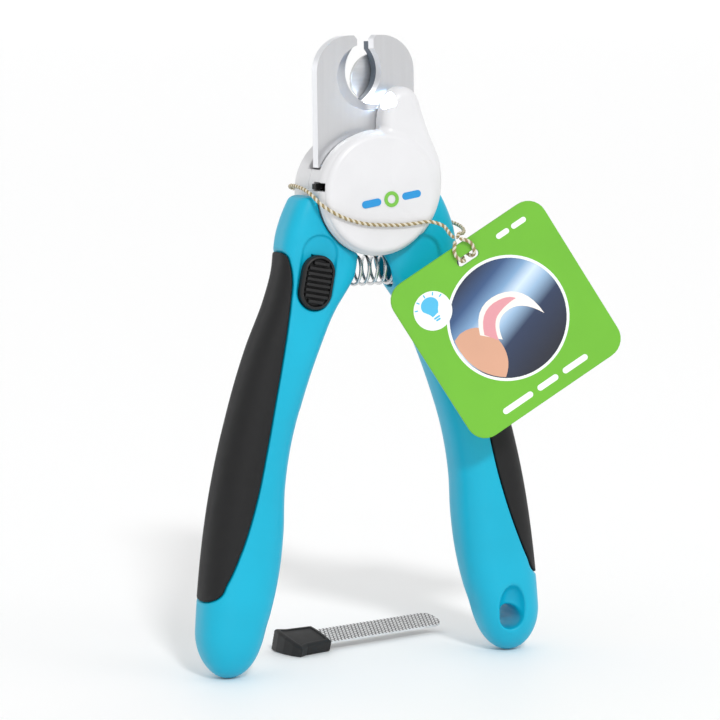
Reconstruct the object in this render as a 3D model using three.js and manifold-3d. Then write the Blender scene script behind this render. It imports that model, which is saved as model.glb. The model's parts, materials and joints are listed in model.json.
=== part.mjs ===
// Plier-type pet nail clipper with a lamp in its head, standing on the ends of its handles.
// Millimetres, +Z up, -Y towards the front. X runs from the left handle to the right handle.
// Every shape is drawn about the pivot axis, which runs along Y. The finished group is then
// lifted, so that the origin lies between the handles where a hand holds them.

import * as THREE from 'three';
import { mergeVertices } from 'three/addons/utils/BufferGeometryUtils.js';
import Module from 'manifold-3d';

const wasm = await Module();
wasm.setup();

// ---------- driving dimensions ----------

const PIVOT_HEIGHT = 68.7;      // pivot axis above the hand grip origin
const FOOT_DEPTH = 128.7;       // pivot axis above the handles' ends
const GAP = 0.3;                // clearance between touching pieces
const THROUGH = 60;             // length of a cutter that goes right through

const COVER_R = 16.07;          // round covers
const COVER_Y = 11.6;           // outer face of each cover, from the middle plane
const COVER_INNER_Y = 3.9;      // inner edge of each cover
const COVER_WALL = 1.7;
const SEAT_R = 16.6;            // round seat of the handles about the covers
const RIM_SEAM_Y = 1.35;        // seam of the two covers on the left rim
const RIM_INNER_R = 14.3;
const SCREW_HOLE_R = 1.2;
const SCREW_POST_R = 2.2;

const BLADE_T = 3.4;            // plate thickness
const BLADE_Y = 0.2;            // sheared face of each blade, from the middle plane
const BLADE_BACK_Y = BLADE_Y + BLADE_T;
const BLADE_SIDE = 15;          // half width of the two blades together
const BLADE_TOP = 41.7;         // above the pivot
const BLADE_BASE_Z = 6.9;       // lower edge of the crescent plate, under the covers
const BLADE_CORNER_R = 9.5;
const BLADE_TIP_X = 3.25;       // each tip, from the middle
const EDGE_R = 9.2;             // crescent cutting edge
const EDGE_X = 3.8;             // its centre, across the middle
const EDGE_Z = 32.2;
const BEVEL_R = 8.9;            // outer line of the ground bevel
const BEVEL_X = -0.3;
const BEVEL_Z = 30.7;
const HUB_R = 9.2;
const PIVOT_HOLE_R = 3.0;
const TANG_W = 8;
const TANG_LINE = [[0, 0], [9.5, -9.5], [15.5, -21], [21.5, -35], [26.5, -48]];
const TANG_END = [26.9, -49.04];  // end of the pocket that holds a tang

const GRIP_T = 2.1;             // depth of the soft grip
const LOCK_TILT = 11;           // degrees that the lock slides off the vertical
const LOCK_AT = [-17.57, -23.17];
const LOCK_TRAVEL = 4.9;
const BUTTON_L = 14.6;
const BUTTON_W = 9.2;
const RECESS_FLOOR_Y = -6.2;

const SPRING_Z = -21.2;
const SPRING_R = 3.75;
const SPRING_WIRE_R = 0.45;
const SPRING_HALF_L = 8.6;
const SPRING_TURNS = 8;
const SOCKET_R = 4.7;
const SOCKET_END_X = 9;

const HANG_HOLE_AT = [39.5, -118.4];
const HANG_HOLE_R = 3.2;

const COVER_SCREWS = [[12.0, 0.2], [-12.0, -2.4]];   // right and left
const GUARD_PIVOT = [11, 19.8];
const GUARD_Y = 7.2;
const GUARD_T = 1.2;

const CELL_AT = [0, -7];
const CELL_R = 6.2;

const FILE_AT = [9.5, 27];            // middle of the loose file on the ground, X and Y
const FILE_YAW = 13;                  // degrees
const FILE_TILT = 16;                 // degrees that the cap's deeper side tips the strip forwards
const CAP_HALF_W = 6.8;
const FILE_L = 44;
const FILE_W = 8;
const FILE_T = 1;

const TAG_SIZE = 49;
const TAG_CORNER_R = 5.4;
const TAG_T = 0.8;
const TAG_YAW = -12;                  // degrees that the card is turned to the left
const TAG_ROLL = 32;                  // degrees that it leans
const TAG_THROAT = [18.4, -18.4, -12.75];
const TAG_SLOT_DROP = 5.6;            // throat to slot
const TAG_CENTRE_DROP = 25.6;         // throat to the card's middle
const TWINE_R = 0.55;

// Half outlines of a handle, as [height, distance from the middle], mirrored for the other.
const OUTER = [[2, 18.8], [-1.5, 21.0], [-6, 23.2], [-11, 24.9], [-15, 25.6], [-20, 26.2],
  [-28, 28.5], [-41, 34.1], [-57, 39.7], [-78, 45.1], [-99, 48.5], [-116, 50.0], [-130, 50.3]];
const INNER = [[2, 3.6], [-17, 3.6], [-22.6, 4.8], [-25.3, 6.5], [-30.5, 10.1], [-41, 15.0],
  [-57, 20.8], [-67, 23.6], [-78, 25.4], [-90, 26.0], [-99, 27.1], [-110, 29.7], [-116, 31.8],
  [-130, 33.4]];
const HALF_THICK = [[2, 6.4], [-4, 6.9], [-16, 7.1], [-26, 7.7], [-45, 8.3], [-70, 8.7],
  [-92, 9.0], [-108, 8.8], [-130, 8.3]];
const GRIP_EDGE = [[-13.4, 28.0], [-14.2, 26.2], [-15.6, 24.9], [-18.5, 24.1], [-23.8, 24.0],
  [-27.4, 24.6], [-40.5, 27.1], [-53.7, 29.9], [-66.8, 32.7], [-80, 35.9], [-93, 40.3],
  [-102, 44.4], [-106, 46.8], [-108, 50.2]];
const FOOT_START = -116;              // the end of a handle is rounded from here down

// ---------- materials ----------

const finish = (color, roughness, metalness = 0) =>
  new THREE.MeshStandardMaterial({ color, roughness, metalness });
const MATERIAL = {
  blue: finish(0x2cbfe6, 0.38),
  black: finish(0x222222, 0.75),
  white: finish(0xf2f2f2, 0.3),
  steel: finish(0xc9cbcf, 0.28, 1),
  brass: finish(0xb9964a, 0.35, 1),
  lens: finish(0xdff2ff, 0.1),
  board: finish(0x2f6b3c, 0.5),
  red: finish(0xb8231d, 0.5),
  card: finish(0x79c42f, 0.55),
  twine: finish(0xd9cfae, 0.9),
};

// ---------- solid tools ----------

const clipper = new THREE.Group();
clipper.position.z = PIVOT_HEIGHT;

function solid(geometry) {
  const bare = geometry.clone();
  bare.deleteAttribute('normal');
  bare.deleteAttribute('uv');
  const merged = mergeVertices(bare, 1e-5);
  return new wasm.Manifold(new wasm.Mesh({
    numProp: 3,
    vertProperties: new Float32Array(merged.attributes.position.array),
    triVerts: new Uint32Array(merged.index.array),
  }));
}

function geometryOf(body) {
  const mesh = body.getMesh();
  const geometry = new THREE.BufferGeometry();
  geometry.setAttribute('position', new THREE.BufferAttribute(mesh.vertProperties, 3));
  geometry.setIndex(new THREE.BufferAttribute(mesh.triVerts, 1));
  geometry.computeVertexNormals();
  return geometry;
}

const join = (...bodies) => bodies.reduce((whole, part) => whole.add(part));
const cut = (body, ...tools) => tools.reduce((whole, part) => whole.subtract(part), body);

function add(name, body, material, group = clipper) {
  const mesh = new THREE.Mesh(body.isBufferGeometry ? body : geometryOf(body), material);
  mesh.name = name;
  group.add(mesh);
  return mesh;
}

// Points [x, z] as an outline, and an outline as a plate between two Y planes.
const outline = (points) => new THREE.Shape(points.map(([x, z]) => new THREE.Vector2(x, z)));

function plate(shape, y0, y1, curveSegments = 12) {
  const geometry = new THREE.ExtrudeGeometry(shape, {
    depth: y1 - y0, bevelEnabled: false, curveSegments,
  });
  return solid(geometry.rotateX(Math.PI / 2).translate(0, y1, 0));
}

// A round bar along Y, about [x, z].
const bar = (r, y0, y1, [x, z] = [0, 0], sides = 32) =>
  solid(new THREE.CylinderGeometry(r, r, y1 - y0, sides).translate(x, (y0 + y1) / 2, z));

const block = (x0, x1, y0, y1, z0, z1) => solid(new THREE.BoxGeometry(x1 - x0, y1 - y0, z1 - z0)
  .translate((x0 + x1) / 2, (y0 + y1) / 2, (z0 + z1) / 2));

// A turned piece along Y from [radius, y] points, about [x, z].
function turned(profile, [x, z] = [0, 0], sides = 32) {
  const points = profile.map(([r, y]) => new THREE.Vector2(r, y));
  return solid(new THREE.LatheGeometry(points, sides).translate(x, 0, z));
}

// A band of even width round a centre line of [x, z] points.
function band(line, width) {
  const left = [];
  const right = [];
  line.forEach(([x, z], i) => {
    const [ax, az] = line[Math.max(i - 1, 0)];
    const [bx, bz] = line[Math.min(i + 1, line.length - 1)];
    const length = Math.hypot(bx - ax, bz - az);
    const dx = -(bz - az) / length * width / 2;
    const dz = (bx - ax) / length * width / 2;
    left.push([x + dx, z + dz]);
    right.unshift([x - dx, z - dz]);
  });
  return outline([...left, ...right]);
}

// A stadium of length l and width w, upright about the origin.
function stadium(l, w) {
  const shape = new THREE.Shape();
  const half = (l - w) / 2;
  shape.absarc(0, half, w / 2, 0, Math.PI, false);
  shape.absarc(0, -half, w / 2, Math.PI, 2 * Math.PI, false);
  return shape;
}

// A smooth value through [key, value] pairs whose keys fall.
function along(pairs, key) {
  let i = pairs.findIndex(([k]) => k <= key);
  if (i < 1) i = i === 0 ? 1 : pairs.length - 1;
  const [k0, v0] = pairs[i - 1];
  const [k1, v1] = pairs[i];
  const slope = (j) => {
    const [ka, va] = pairs[Math.max(j - 1, 0)];
    const [kb, vb] = pairs[Math.min(j + 1, pairs.length - 1)];
    return (vb - va) / (kb - ka);
  };
  const h = k1 - k0;
  const t = (key - k0) / h;
  const rise = t * t * (3 - 2 * t);
  return v0 + (v1 - v0) * rise + h * t * (1 - t) * ((1 - t) * slope(i - 1) - t * slope(i));
}

// A wire or cord: a round section along a smooth curve through points.
function wire(points, r, steps, sides = 8) {
  const path = new THREE.CatmullRomCurve3(points.map((p) => new THREE.Vector3(...p)));
  const corners = Array.from({ length: sides }, (_, i) => {
    const a = 2 * Math.PI * i / sides;
    return new THREE.Vector2(r * Math.cos(a), r * Math.sin(a));
  });
  return solid(new THREE.ExtrudeGeometry(new THREE.Shape(corners), { extrudePath: path, steps }));
}

const rotatedY = (body, degrees) => body.rotate([0, degrees, 0]);

// ---------- handles ----------

// The handle's skin, drawn in by an inset: rounded slices from the shoulder to the foot.
// side is -1 for the left handle and +1 for the right one.
function handleSkin(side, inset = 0) {
  const ring = 24;
  const heights = [1.6, 0.6, -3, -8, -14, -18, -22, -26, -31];
  for (let z = -37; z > -114; z -= 7) heights.push(z);
  heights.push(FOOT_START, -120, -123, -125.4, -127.2, -128.3, -(FOOT_DEPTH - 0.05));
  const vertices = [];
  const index = [];
  for (const z of heights) {
    const down = Math.max(0, FOOT_START - z) / (FOOT_DEPTH + FOOT_START);
    const round = Math.sqrt(1 - down * down);
    const x0 = along(INNER, z);
    const x1 = along(OUTER, z);
    const half = Math.max((x1 - x0) / 2 * round - inset, 0.05);
    const thick = Math.max(along(HALF_THICK, z) * round - inset, 0.05);
    const power = 2 / (2.5 + 1.3 * THREE.MathUtils.smoothstep(z, -60, -10));
    for (let i = 0; i < ring; i += 1) {
      const a = 2 * Math.PI * i / ring;
      const bulge = (v) => Math.sign(v) * Math.abs(v) ** power;
      vertices.push(side * ((x0 + x1) / 2 + half * bulge(Math.cos(a))), thick * bulge(Math.sin(a)), z);
    }
  }
  const last = heights.length - 1;
  const triangle = (a, b, c) => index.push(...(side > 0 ? [a, c, b] : [a, b, c]));
  for (let j = 0; j < last; j += 1) {
    for (let i = 0; i < ring; i += 1) {
      const [a, b] = [j * ring + i, j * ring + (i + 1) % ring];
      triangle(a, b, b + ring);
      triangle(a, b + ring, a + ring);
    }
  }
  for (let i = 1; i < ring - 1; i += 1) {
    triangle(0, i + 1, i);
    triangle(last * ring, last * ring + i, last * ring + i + 1);
  }
  const geometry = new THREE.BufferGeometry();
  geometry.setAttribute('position', new THREE.Float32BufferAttribute(vertices, 3));
  geometry.setIndex(index);
  return solid(geometry);
}

// The block that the soft grip takes out of a handle, outside a long curved line.
function gripRegion(side, grow) {
  const line = GRIP_EDGE.map(([z, x]) => [side * (x - grow), z]);
  const [top, bottom] = [GRIP_EDGE[0][0] + grow, GRIP_EDGE.at(-1)[0] - grow];
  const points = [[side * 70, top], [side * (GRIP_EDGE[0][1] - grow), top], ...line.slice(1, -1),
    [side * (GRIP_EDGE.at(-1)[1] - grow), bottom], [side * 70, bottom]];
  return plate(outline(side > 0 ? points : points.reverse()), -THROUGH / 2, THROUGH / 2);
}

// Blocks that end a handle at the head: above its sloping shoulder, and towards the other handle.
function headLimits(side) {
  const slope = outline([[15, -0.3], [22, -1.0], [24, 20], [0, 20], [0, -0.3]]
    .map(([x, z]) => [side * x, z]));
  const end = outline([[0, 0], [6.36, -30], [-40, -30], [-40, 0]]
    .map(([x, z]) => [side * x, z]));
  return [plate(slope, -THROUGH / 2, THROUGH / 2), plate(end, -THROUGH / 2, THROUGH / 2)];
}

const tangPocket = (side) => plate(
  band([...TANG_LINE.slice(0, -1), TANG_END].map(([x, z]) => [side * x, z]), TANG_W + 2 * GAP),
  side > 0 ? -BLADE_BACK_Y - GAP : BLADE_Y - GAP,
  side > 0 ? -BLADE_Y + GAP : BLADE_BACK_Y + GAP,
);

const springSocket = (side) => solid(
  new THREE.CylinderGeometry(SOCKET_R, SOCKET_R, SOCKET_END_X, 24)
    .rotateZ(Math.PI / 2).translate(side * SOCKET_END_X / 2, 0, SPRING_Z),
);

function handleBody(side) {
  const skin = handleSkin(side);
  const core = handleSkin(side, GRIP_T);
  const body = join(cut(skin, gripRegion(side, GAP)), core);
  return cut(body, bar(SEAT_R, -THROUGH / 2, THROUGH / 2, [0, 0], 96), ...headLimits(side),
    tangPocket(side), springSocket(side));
}

function grip(side) {
  const shell = cut(handleSkin(side), handleSkin(side, GRIP_T - GAP));
  return shell.intersect(gripRegion(side, 0));
}

// A body drawn in the lock's own directions, across and up its slide, put in its place.
const inLock = (body) => rotatedY(body, LOCK_TILT).translate([LOCK_AT[0], 0, LOCK_AT[1]]);

// The pocket for the nail file in the left handle's inner side.
const filePocket = () => rotatedY(block(-2.6, 14, -4.9, 4.9, -27, 27), 7.5).translate([-28.0, 0, -84]);

function leftHandle() {
  const recess = plate(stadium(BUTTON_L + LOCK_TRAVEL + 0.6, BUTTON_W + 0.6), -12, RECESS_FLOOR_Y);
  const stemSlot = block(-2.1, 2.1, -8, -2, -2.1, 2.1 + LOCK_TRAVEL);
  const barPocket = join(
    block(-2.3, 6.5, -3.2, -1, -2.1, 5.5 + LOCK_TRAVEL),
    block(4.1, 6.5, -3.2, -1, 0.7, 24),
  );
  return cut(handleBody(-1), inLock(recess.translate([0, 0, LOCK_TRAVEL / 2])), inLock(stemSlot),
    inLock(barPocket), filePocket());
}

// Round hole at the foot for hanging the clipper, with a long hollow running down into it.
function hangHole() {
  const [x, z] = HANG_HOLE_AT;
  const hollow = (side) => {
    const scoop = new THREE.SphereGeometry(1, 24, 16).scale(4.1, 5.5, 6.8)
      .translate(x, side * 10, z + 2.6);
    return solid(scoop);
  };
  return join(bar(HANG_HOLE_R, -THROUGH / 2, THROUGH / 2, [x, z], 32), hollow(-1), hollow(1));
}

add('left_handle', leftHandle(), MATERIAL.blue);
add('right_handle', cut(handleBody(1), hangHole()), MATERIAL.blue);
add('left_grip', grip(-1), MATERIAL.black);
add('right_grip', grip(1), MATERIAL.black);

// ---------- blades ----------

// The front blade: a left crescent whose tang crosses under the pivot to the right handle.
function bladeOutline() {
  const shape = new THREE.Shape();
  shape.moveTo(-BLADE_SIDE, BLADE_BASE_Z);
  shape.lineTo(-6.5, BLADE_BASE_Z);
  shape.lineTo(0, 0);
  shape.lineTo(8.4, 3.8);
  shape.lineTo(9, 20);
  shape.lineTo(EDGE_X + 3.9, EDGE_Z - 8.3);
  shape.lineTo(EDGE_X, EDGE_Z);
  shape.lineTo(-BLADE_TIP_X, EDGE_Z + 5);
  shape.lineTo(-BLADE_TIP_X, BLADE_TOP - 1);
  shape.lineTo(-BLADE_TIP_X - 0.9, BLADE_TOP);
  shape.absarc(BLADE_CORNER_R - BLADE_SIDE, BLADE_TOP - BLADE_CORNER_R, BLADE_CORNER_R,
    Math.PI / 2, Math.PI, false);
  return shape;
}

// The cutter of a crescent: circles on the two faces of the plate, joined by a ruled surface.
function crescentCutter(onFront, onBack) {
  const ring = 60;
  const over = 0.5;
  const at = (t) => onFront.map((v, i) => v + (onBack[i] - v) * t);
  const ends = [at(-over / BLADE_T), at(1 + over / BLADE_T)];
  const ys = [-BLADE_BACK_Y - over, -BLADE_Y + over];
  const vertices = [];
  const index = [];
  ends.forEach(([x, z, r], j) => {
    for (let i = 0; i < ring; i += 1) {
      const a = 2 * Math.PI * i / ring;
      vertices.push(x + r * Math.cos(a), ys[j], z + r * Math.sin(a));
    }
    vertices.push(x, ys[j], z);
  });
  for (let i = 0; i < ring; i += 1) {
    const [a, b] = [i, (i + 1) % ring];
    const [c, d] = [a + ring + 1, b + ring + 1];
    index.push(a, b, ring, a, c, b, b, c, d, d, c, 2 * ring + 1);
  }
  const geometry = new THREE.BufferGeometry();
  geometry.setAttribute('position', new THREE.Float32BufferAttribute(vertices, 3));
  geometry.setIndex(index);
  return solid(geometry);
}

function bladePlate(cutter) {
  const [y0, y1] = [-BLADE_BACK_Y, -BLADE_Y];
  return cut(
    join(cut(plate(bladeOutline(), y0, y1, 16), cutter), bar(HUB_R, y0, y1, [0, 0], 48),
      plate(band(TANG_LINE, TANG_W), y0, y1)),
    bar(PIVOT_HOLE_R, y0 - 1, y1 + 1),
  );
}

// The tooth of the front blade that the lock bar catches when the handles are shut.
function lockTooth() {
  const ray = (degrees, r) => {
    const a = degrees * Math.PI / 180;
    return [r * Math.cos(a), r * Math.sin(a)];
  };
  return plate(outline([ray(229, 8.5), ray(235.2, 8.5), ray(235.2, 13), ray(229, 13)]),
    -BLADE_BACK_Y, -BLADE_Y);
}

function frontBlade() {
  return join(bladePlate(crescentCutter([BEVEL_X, BEVEL_Z, BEVEL_R], [EDGE_X, EDGE_Z, EDGE_R])),
    lockTooth());
}

function rearBlade() {
  const straight = [EDGE_X, EDGE_Z, EDGE_R];
  const turnedRound = bladePlate(crescentCutter(straight, straight)).rotate([0, 0, 180]);
  return cut(turnedRound, bar(1.9, BLADE_Y + 0.3, BLADE_BACK_Y + 1, GUARD_PIVOT, 24));
}

add('front_blade', frontBlade(), MATERIAL.steel);
add('rear_blade', rearBlade(), MATERIAL.steel);

// ---------- pivot ----------

function washer(y0) {
  return cut(bar(5.6, y0, y0 + 0.8, [0, 0], 24), bar(PIVOT_HOLE_R, y0 - 1, y0 + 2, [0, 0], 24));
}

add('pivot_bolt', turned([[0, -6.8], [2.6, -6.8], [4.4, -6.1], [4.4, -5.0], [2.7, -5.0], [2.7, 7.0],
  [0, 7.0]]), MATERIAL.steel);
add('front_washer', washer(-4.7), MATERIAL.steel);
add('rear_washer', washer(3.9), MATERIAL.steel);
add('pivot_nut', cut(bar(4.4, 5.0, 7.0, [0, 0], 6), bar(PIVOT_HOLE_R, 4, 8)), MATERIAL.steel);

// ---------- covers ----------

// A slice of the covers' left rim, where they close round the lamp switch.
function leftRim(y0, y1) {
  const shape = new THREE.Shape();
  const [from, to] = [156, 192].map((degrees) => degrees * Math.PI / 180);
  shape.absarc(0, 0, COVER_R, from, to, false);
  shape.absarc(0, 0, RIM_INNER_R, to, from, true);
  return plate(shape, y0, y1, 8);
}

function coverDisc(side) {
  const profile = [[0, COVER_INNER_Y], [COVER_R, COVER_INNER_Y], [COVER_R, COVER_Y - 1.5],
    [COVER_R - 0.44, COVER_Y - 0.44], [COVER_R - 1.5, COVER_Y], [0, COVER_Y]];
  const points = profile.map(([r, y]) => [r, side * y]);
  return turned(side > 0 ? points : points.reverse(), [0, 0], 64);
}

const coverHollow = (side) => bar(COVER_R - COVER_WALL,
  side > 0 ? 0 : -COVER_Y + COVER_WALL, side > 0 ? COVER_Y - COVER_WALL : 0, [0, 0], 48);

// The raised finger of the front cover: a slanting flank towards the blades, and a round top.
function lampFinger(inset, y0, y1) {
  const shape = new THREE.Shape();
  shape.moveTo(1.7 + inset, 10);
  shape.lineTo(1.7 + inset, 18.6 - inset / 2);
  shape.quadraticCurveTo(1.9 + inset, 21.6, 2.9 + inset, 24);
  shape.lineTo(4.1 + inset, 26.0 - inset);
  shape.quadraticCurveTo(5.6, 28.0 - inset, 8.2, 28.0 - inset);
  shape.quadraticCurveTo(11.4, 27.8 - inset, 12.7 - inset, 23.9);
  shape.quadraticCurveTo(14.3 - inset, 17.2, 17.9 - inset, 9);
  shape.quadraticCurveTo(18.8 - inset, 5, 18.4 - inset, 0.6 + inset);
  shape.lineTo(14, 0.6 + inset);
  shape.lineTo(4, 4);
  return plate(shape, y0, y1, 8);
}

const posts = (y0, y1, r = SCREW_POST_R) => join(...COVER_SCREWS.map((at) => bar(r, y0, y1, at, 20)));

// The lamp looks out of the finger's flank along this direction in the XZ plane.
const LAMP_ANGLE = 147;               // degrees from +X
const LAMP_WINDOW = [3.2, -7.2, 24.6];

function lampBar(r, from, to) {
  const bare = new THREE.CylinderGeometry(r, r, to - from, 24).translate(0, (from + to) / 2, 0);
  bare.rotateX(Math.PI / 2).rotateY(Math.PI / 2 - LAMP_ANGLE * Math.PI / 180);
  return solid(bare.translate(...LAMP_WINDOW));
}

function frontCover() {
  const outside = join(coverDisc(-1), lampFinger(0, -10.4, -COVER_INNER_Y),
    leftRim(-COVER_INNER_Y - 0.5, RIM_SEAM_Y - GAP / 2));
  const hollow = join(coverHollow(-1), lampFinger(1.7, -8.9, 0));
  const knobSlot = block(-20, -12, -10, -2.2, 0.9, 3.1);
  const shell = cut(outside, cut(hollow, leftRim(-30, 30)), knobSlot, lampBar(2.5, -4, 6));
  return cut(join(shell, posts(-COVER_Y + 1, 1.2)), posts(-9, 5, SCREW_HOLE_R));
}

const doorOutline = (grow) => {
  const shape = new THREE.Shape();
  shape.absarc(CELL_AT[0], CELL_AT[1], 7.1 + grow, 0.8 * Math.PI, 0.2 * Math.PI, false);
  shape.absarc(0, 2.6, 2.9 + grow, 0.1 * Math.PI, 0.9 * Math.PI, false);
  return shape;
};

function rearCover() {
  const outside = join(coverDisc(1), leftRim(RIM_SEAM_Y + GAP / 2, COVER_INNER_Y + 0.5));
  const shell = cut(outside, cut(coverHollow(1), leftRim(-30, 30)));
  const cellRing = bar(7.6, 7.3, COVER_Y - 1, CELL_AT);
  const doorPost = cut(bar(2.2, 7.3, COVER_Y - 1, [0, 2.6], 20), bar(4.7, 0, 7.3));
  const filled = join(shell, cut(cellRing, bar(CELL_R + GAP, 5, 20, CELL_AT)), doorPost,
    posts(1.6, COVER_Y - 1));
  const heads = join(...COVER_SCREWS.map((at) => bar(2.5, COVER_Y - 1.6, 20, at, 24)));
  return cut(filled, plate(doorOutline(GAP), COVER_Y - COVER_WALL - GAP, 20), posts(0, 20, SCREW_HOLE_R),
    heads, bar(CELL_R + GAP, 7, 20, CELL_AT), bar(0.9, 8, 20, [0, 2.6], 16));
}

// A cross-slotted screw along Y, with its head towards the back.
function screw(at, headY, tipY, headR = 2.1, shankR = 0.85, headH = 1.1) {
  const profile = [[0, tipY], [shankR, tipY], [shankR, headY - headH], [headR, headY - headH],
    [headR, headY - 0.3], [headR - 0.5, headY], [0, headY]];
  const deep = headY - headH / 2;
  const slot = [block(-0.3, 0.3, deep, headY + 1, -1.2, 1.2),
    block(-1.2, 1.2, deep, headY + 1, -0.3, 0.3)]
    .map((arm) => arm.translate([at[0], 0, at[1]]));
  return cut(turned(profile, at, 20), ...slot);
}

add('front_cover', frontCover(), MATERIAL.white);
add('rear_cover', rearCover(), MATERIAL.white);
add('cover_screw_right', screw(COVER_SCREWS[0], COVER_Y - 0.2, -7.5), MATERIAL.steel);
add('cover_screw_left', screw(COVER_SCREWS[1], COVER_Y - 0.2, -7.5), MATERIAL.steel);

// ---------- lamp, switch and battery ----------

function ledLamp() {
  const dome = lampBar(1.5, -3.6, 0.0);
  const flange = lampBar(1.8, -3.6, -2.8);
  return join(dome, flange);
}

add('led_lens', lampBar(2.2, 0.4, 1.3), MATERIAL.lens);
add('led_lamp', ledLamp(), MATERIAL.lens);
add('led_board', cut(block(-3.5, 6, -9.4, -8.4, 6.5, 12.4), bar(0.7, -10, -8, [4.5, 8], 12)),
  MATERIAL.board);
add('switch_body', block(-13.5, -10.9, -9.6, -2.4, 0.1, 4.2), MATERIAL.black);
add('switch_knob', block(-16.35, -14.1, -4.7, -2.5, 1.3, 2.7), MATERIAL.black);

add('battery_cell', turned([[0, 7.75], [5.2, 7.75], [5.2, 8.1], [6.15, 8.1], [6.15, 9.3], [0, 9.3]],
  CELL_AT, 40), MATERIAL.steel);
add('contact_negative', plate(outline([[-1.2, -13.2], [1.2, -13.2], [1.2, -4.9], [-1.2, -4.9]]),
  7.15, 7.45), MATERIAL.brass);
add('contact_positive', plate(outline([[-4, -8.2], [4, -8.2], [4, -5.8], [-4, -5.8]]), 9.35, 9.55),
  MATERIAL.brass);

function batteryDoor() {
  const [y0, y1] = [COVER_Y - COVER_WALL, COVER_Y - 0.05];
  const finger = block(-2.4, 2.4, y1 - 0.7, y1 + 1, -12.1, -11.3);
  return cut(plate(doorOutline(0), y0, y1, 14), bar(1.2, 0, 20, [0, 2.6], 16),
    bar(2.2, y1 - 0.9, 20, [0, 2.6], 20), finger);
}

add('battery_door', batteryDoor(), MATERIAL.white);
add('battery_door_screw', screw([0, 2.6], COVER_Y - 0.15, 8.3, 1.8, 0.6, 0.5), MATERIAL.steel);

add('wire_positive', wire([[-6.6, 8.6, -1.6], [-7.4, 7.6, 1.2], [-9.8, 5.4, 4.8], [-11.0, 2, 5.6],
  [-11.0, -3, 5.6], [-9.4, -6.6, 6.6], [-6.6, -8.7, 8.2], [-4.2, -8.8, 8.8]], 0.4, 20), MATERIAL.red);
add('wire_negative', wire([[-8.5, 8.2, -4.4], [-8.6, 7.6, -1.6], [-10.2, 6.2, 1.8], [-12.2, 3, 5.0],
  [-12.4, -1, 5.3], [-12.3, -4.8, 4.95]], 0.4, 18), MATERIAL.black);

// ---------- lock ----------

function lockButton() {
  const top = RECESS_FLOOR_Y - GAP;
  const ribs = Array.from({ length: 8 }, (_, i) => {
    const v = (i - 3.5) * 1.45;
    const half = 3.5 - Math.max(0, Math.abs(v) - 3.4) * 0.75;
    return block(-half, half, top - 2.9, top - 1, v - 0.42, v + 0.42);
  });
  const pad = plate(stadium(BUTTON_L, BUTTON_W), top - 2, top, 10);
  const hollow = plate(stadium(BUTTON_L - 1.8, BUTTON_W - 1.8), top - 3, top - 1.5, 8);
  const stem = block(-1.7, 1.7, top - 0.1, -3.2, -1.7, 1.7);
  return inLock(join(cut(pad, hollow), ...ribs, stem));
}

function lockBar() {
  return inLock(join(block(-1.9, 6.2, -2.9, -1.3, -1.7, 4), block(4.4, 6.2, -2.9, -1.3, 3, 12.1)));
}

// A bent leaf spring behind the bar, which makes the button click at each end.
function lockClick() {
  const leaf = band([[-1.6, 0], [-0.4, 0.35], [0.8, 0]], 0.3);
  return inLock(plate(leaf, -2.7, -1.5).translate([0, 0, 4.4 + LOCK_TRAVEL]));
}

add('lock_button', lockButton(), MATERIAL.black);
add('lock_bar', lockBar(), MATERIAL.steel);
add('lock_click_spring', lockClick(), MATERIAL.steel);

// ---------- return spring ----------

class Coil extends THREE.Curve {
  getPoint(t) {
    const a = 2 * Math.PI * SPRING_TURNS * t;
    return new THREE.Vector3((2 * t - 1) * (SPRING_HALF_L - SPRING_WIRE_R), SPRING_R * Math.sin(a),
      SPRING_Z + SPRING_R * Math.cos(a));
  }
}

function returnSpring() {
  const section = new THREE.Shape(Array.from({ length: 6 }, (_, i) => {
    const a = Math.PI * i / 3;
    return new THREE.Vector2(SPRING_WIRE_R * Math.cos(a), SPRING_WIRE_R * Math.sin(a));
  }));
  return solid(new THREE.ExtrudeGeometry(section, { extrudePath: new Coil(), steps: SPRING_TURNS * 10 }));
}

add('return_spring', returnSpring(), MATERIAL.steel);

// ---------- nail guard ----------

function guardPlate() {
  const shape = new THREE.Shape();
  shape.absarc(7.2, 29.4, 7.5, -0.06 * Math.PI, 1.1 * Math.PI, false);
  shape.absarc(GUARD_PIVOT[0], GUARD_PIVOT[1], 4, 1.12 * Math.PI, 1.98 * Math.PI, false);
  return cut(plate(shape, GUARD_Y, GUARD_Y + GUARD_T, 20), bar(1.8, 0, 20, GUARD_PIVOT, 20));
}

function guardSpacer() {
  const shape = outline([[4.6, 17.4], [13, 17.4], [14.2, 20], [14.2, 31], [12.4, 35.6], [9.6, 38.6],
    [6.6, 40], [3.4, 40], [3.4, 36], [-3.8, 32.2], [0, 23]]);
  return cut(plate(shape, BLADE_BACK_Y + GAP, GUARD_Y - GAP), bar(1.8, 0, 20, GUARD_PIVOT, 20),
    bar(EDGE_R, 0, 20, [-EDGE_X, EDGE_Z], 60));
}

add('nail_guard', guardPlate(), MATERIAL.steel);
add('guard_spacer', guardSpacer(), MATERIAL.black);
add('guard_screw', screw(GUARD_PIVOT, GUARD_Y + GUARD_T + 1.6, 0.9, 2.9, 1.4, 1.3), MATERIAL.steel);

// ---------- nail file, lying on the ground ----------

const file = new THREE.Group();
const capLift = CAP_HALF_W * Math.sin(FILE_TILT * Math.PI / 180);
file.position.set(FILE_AT[0], FILE_AT[1], capLift - FOOT_DEPTH);
file.rotation.set(FILE_TILT * Math.PI / 180, 0, FILE_YAW * Math.PI / 180, 'ZYX');
clipper.add(file);

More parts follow.
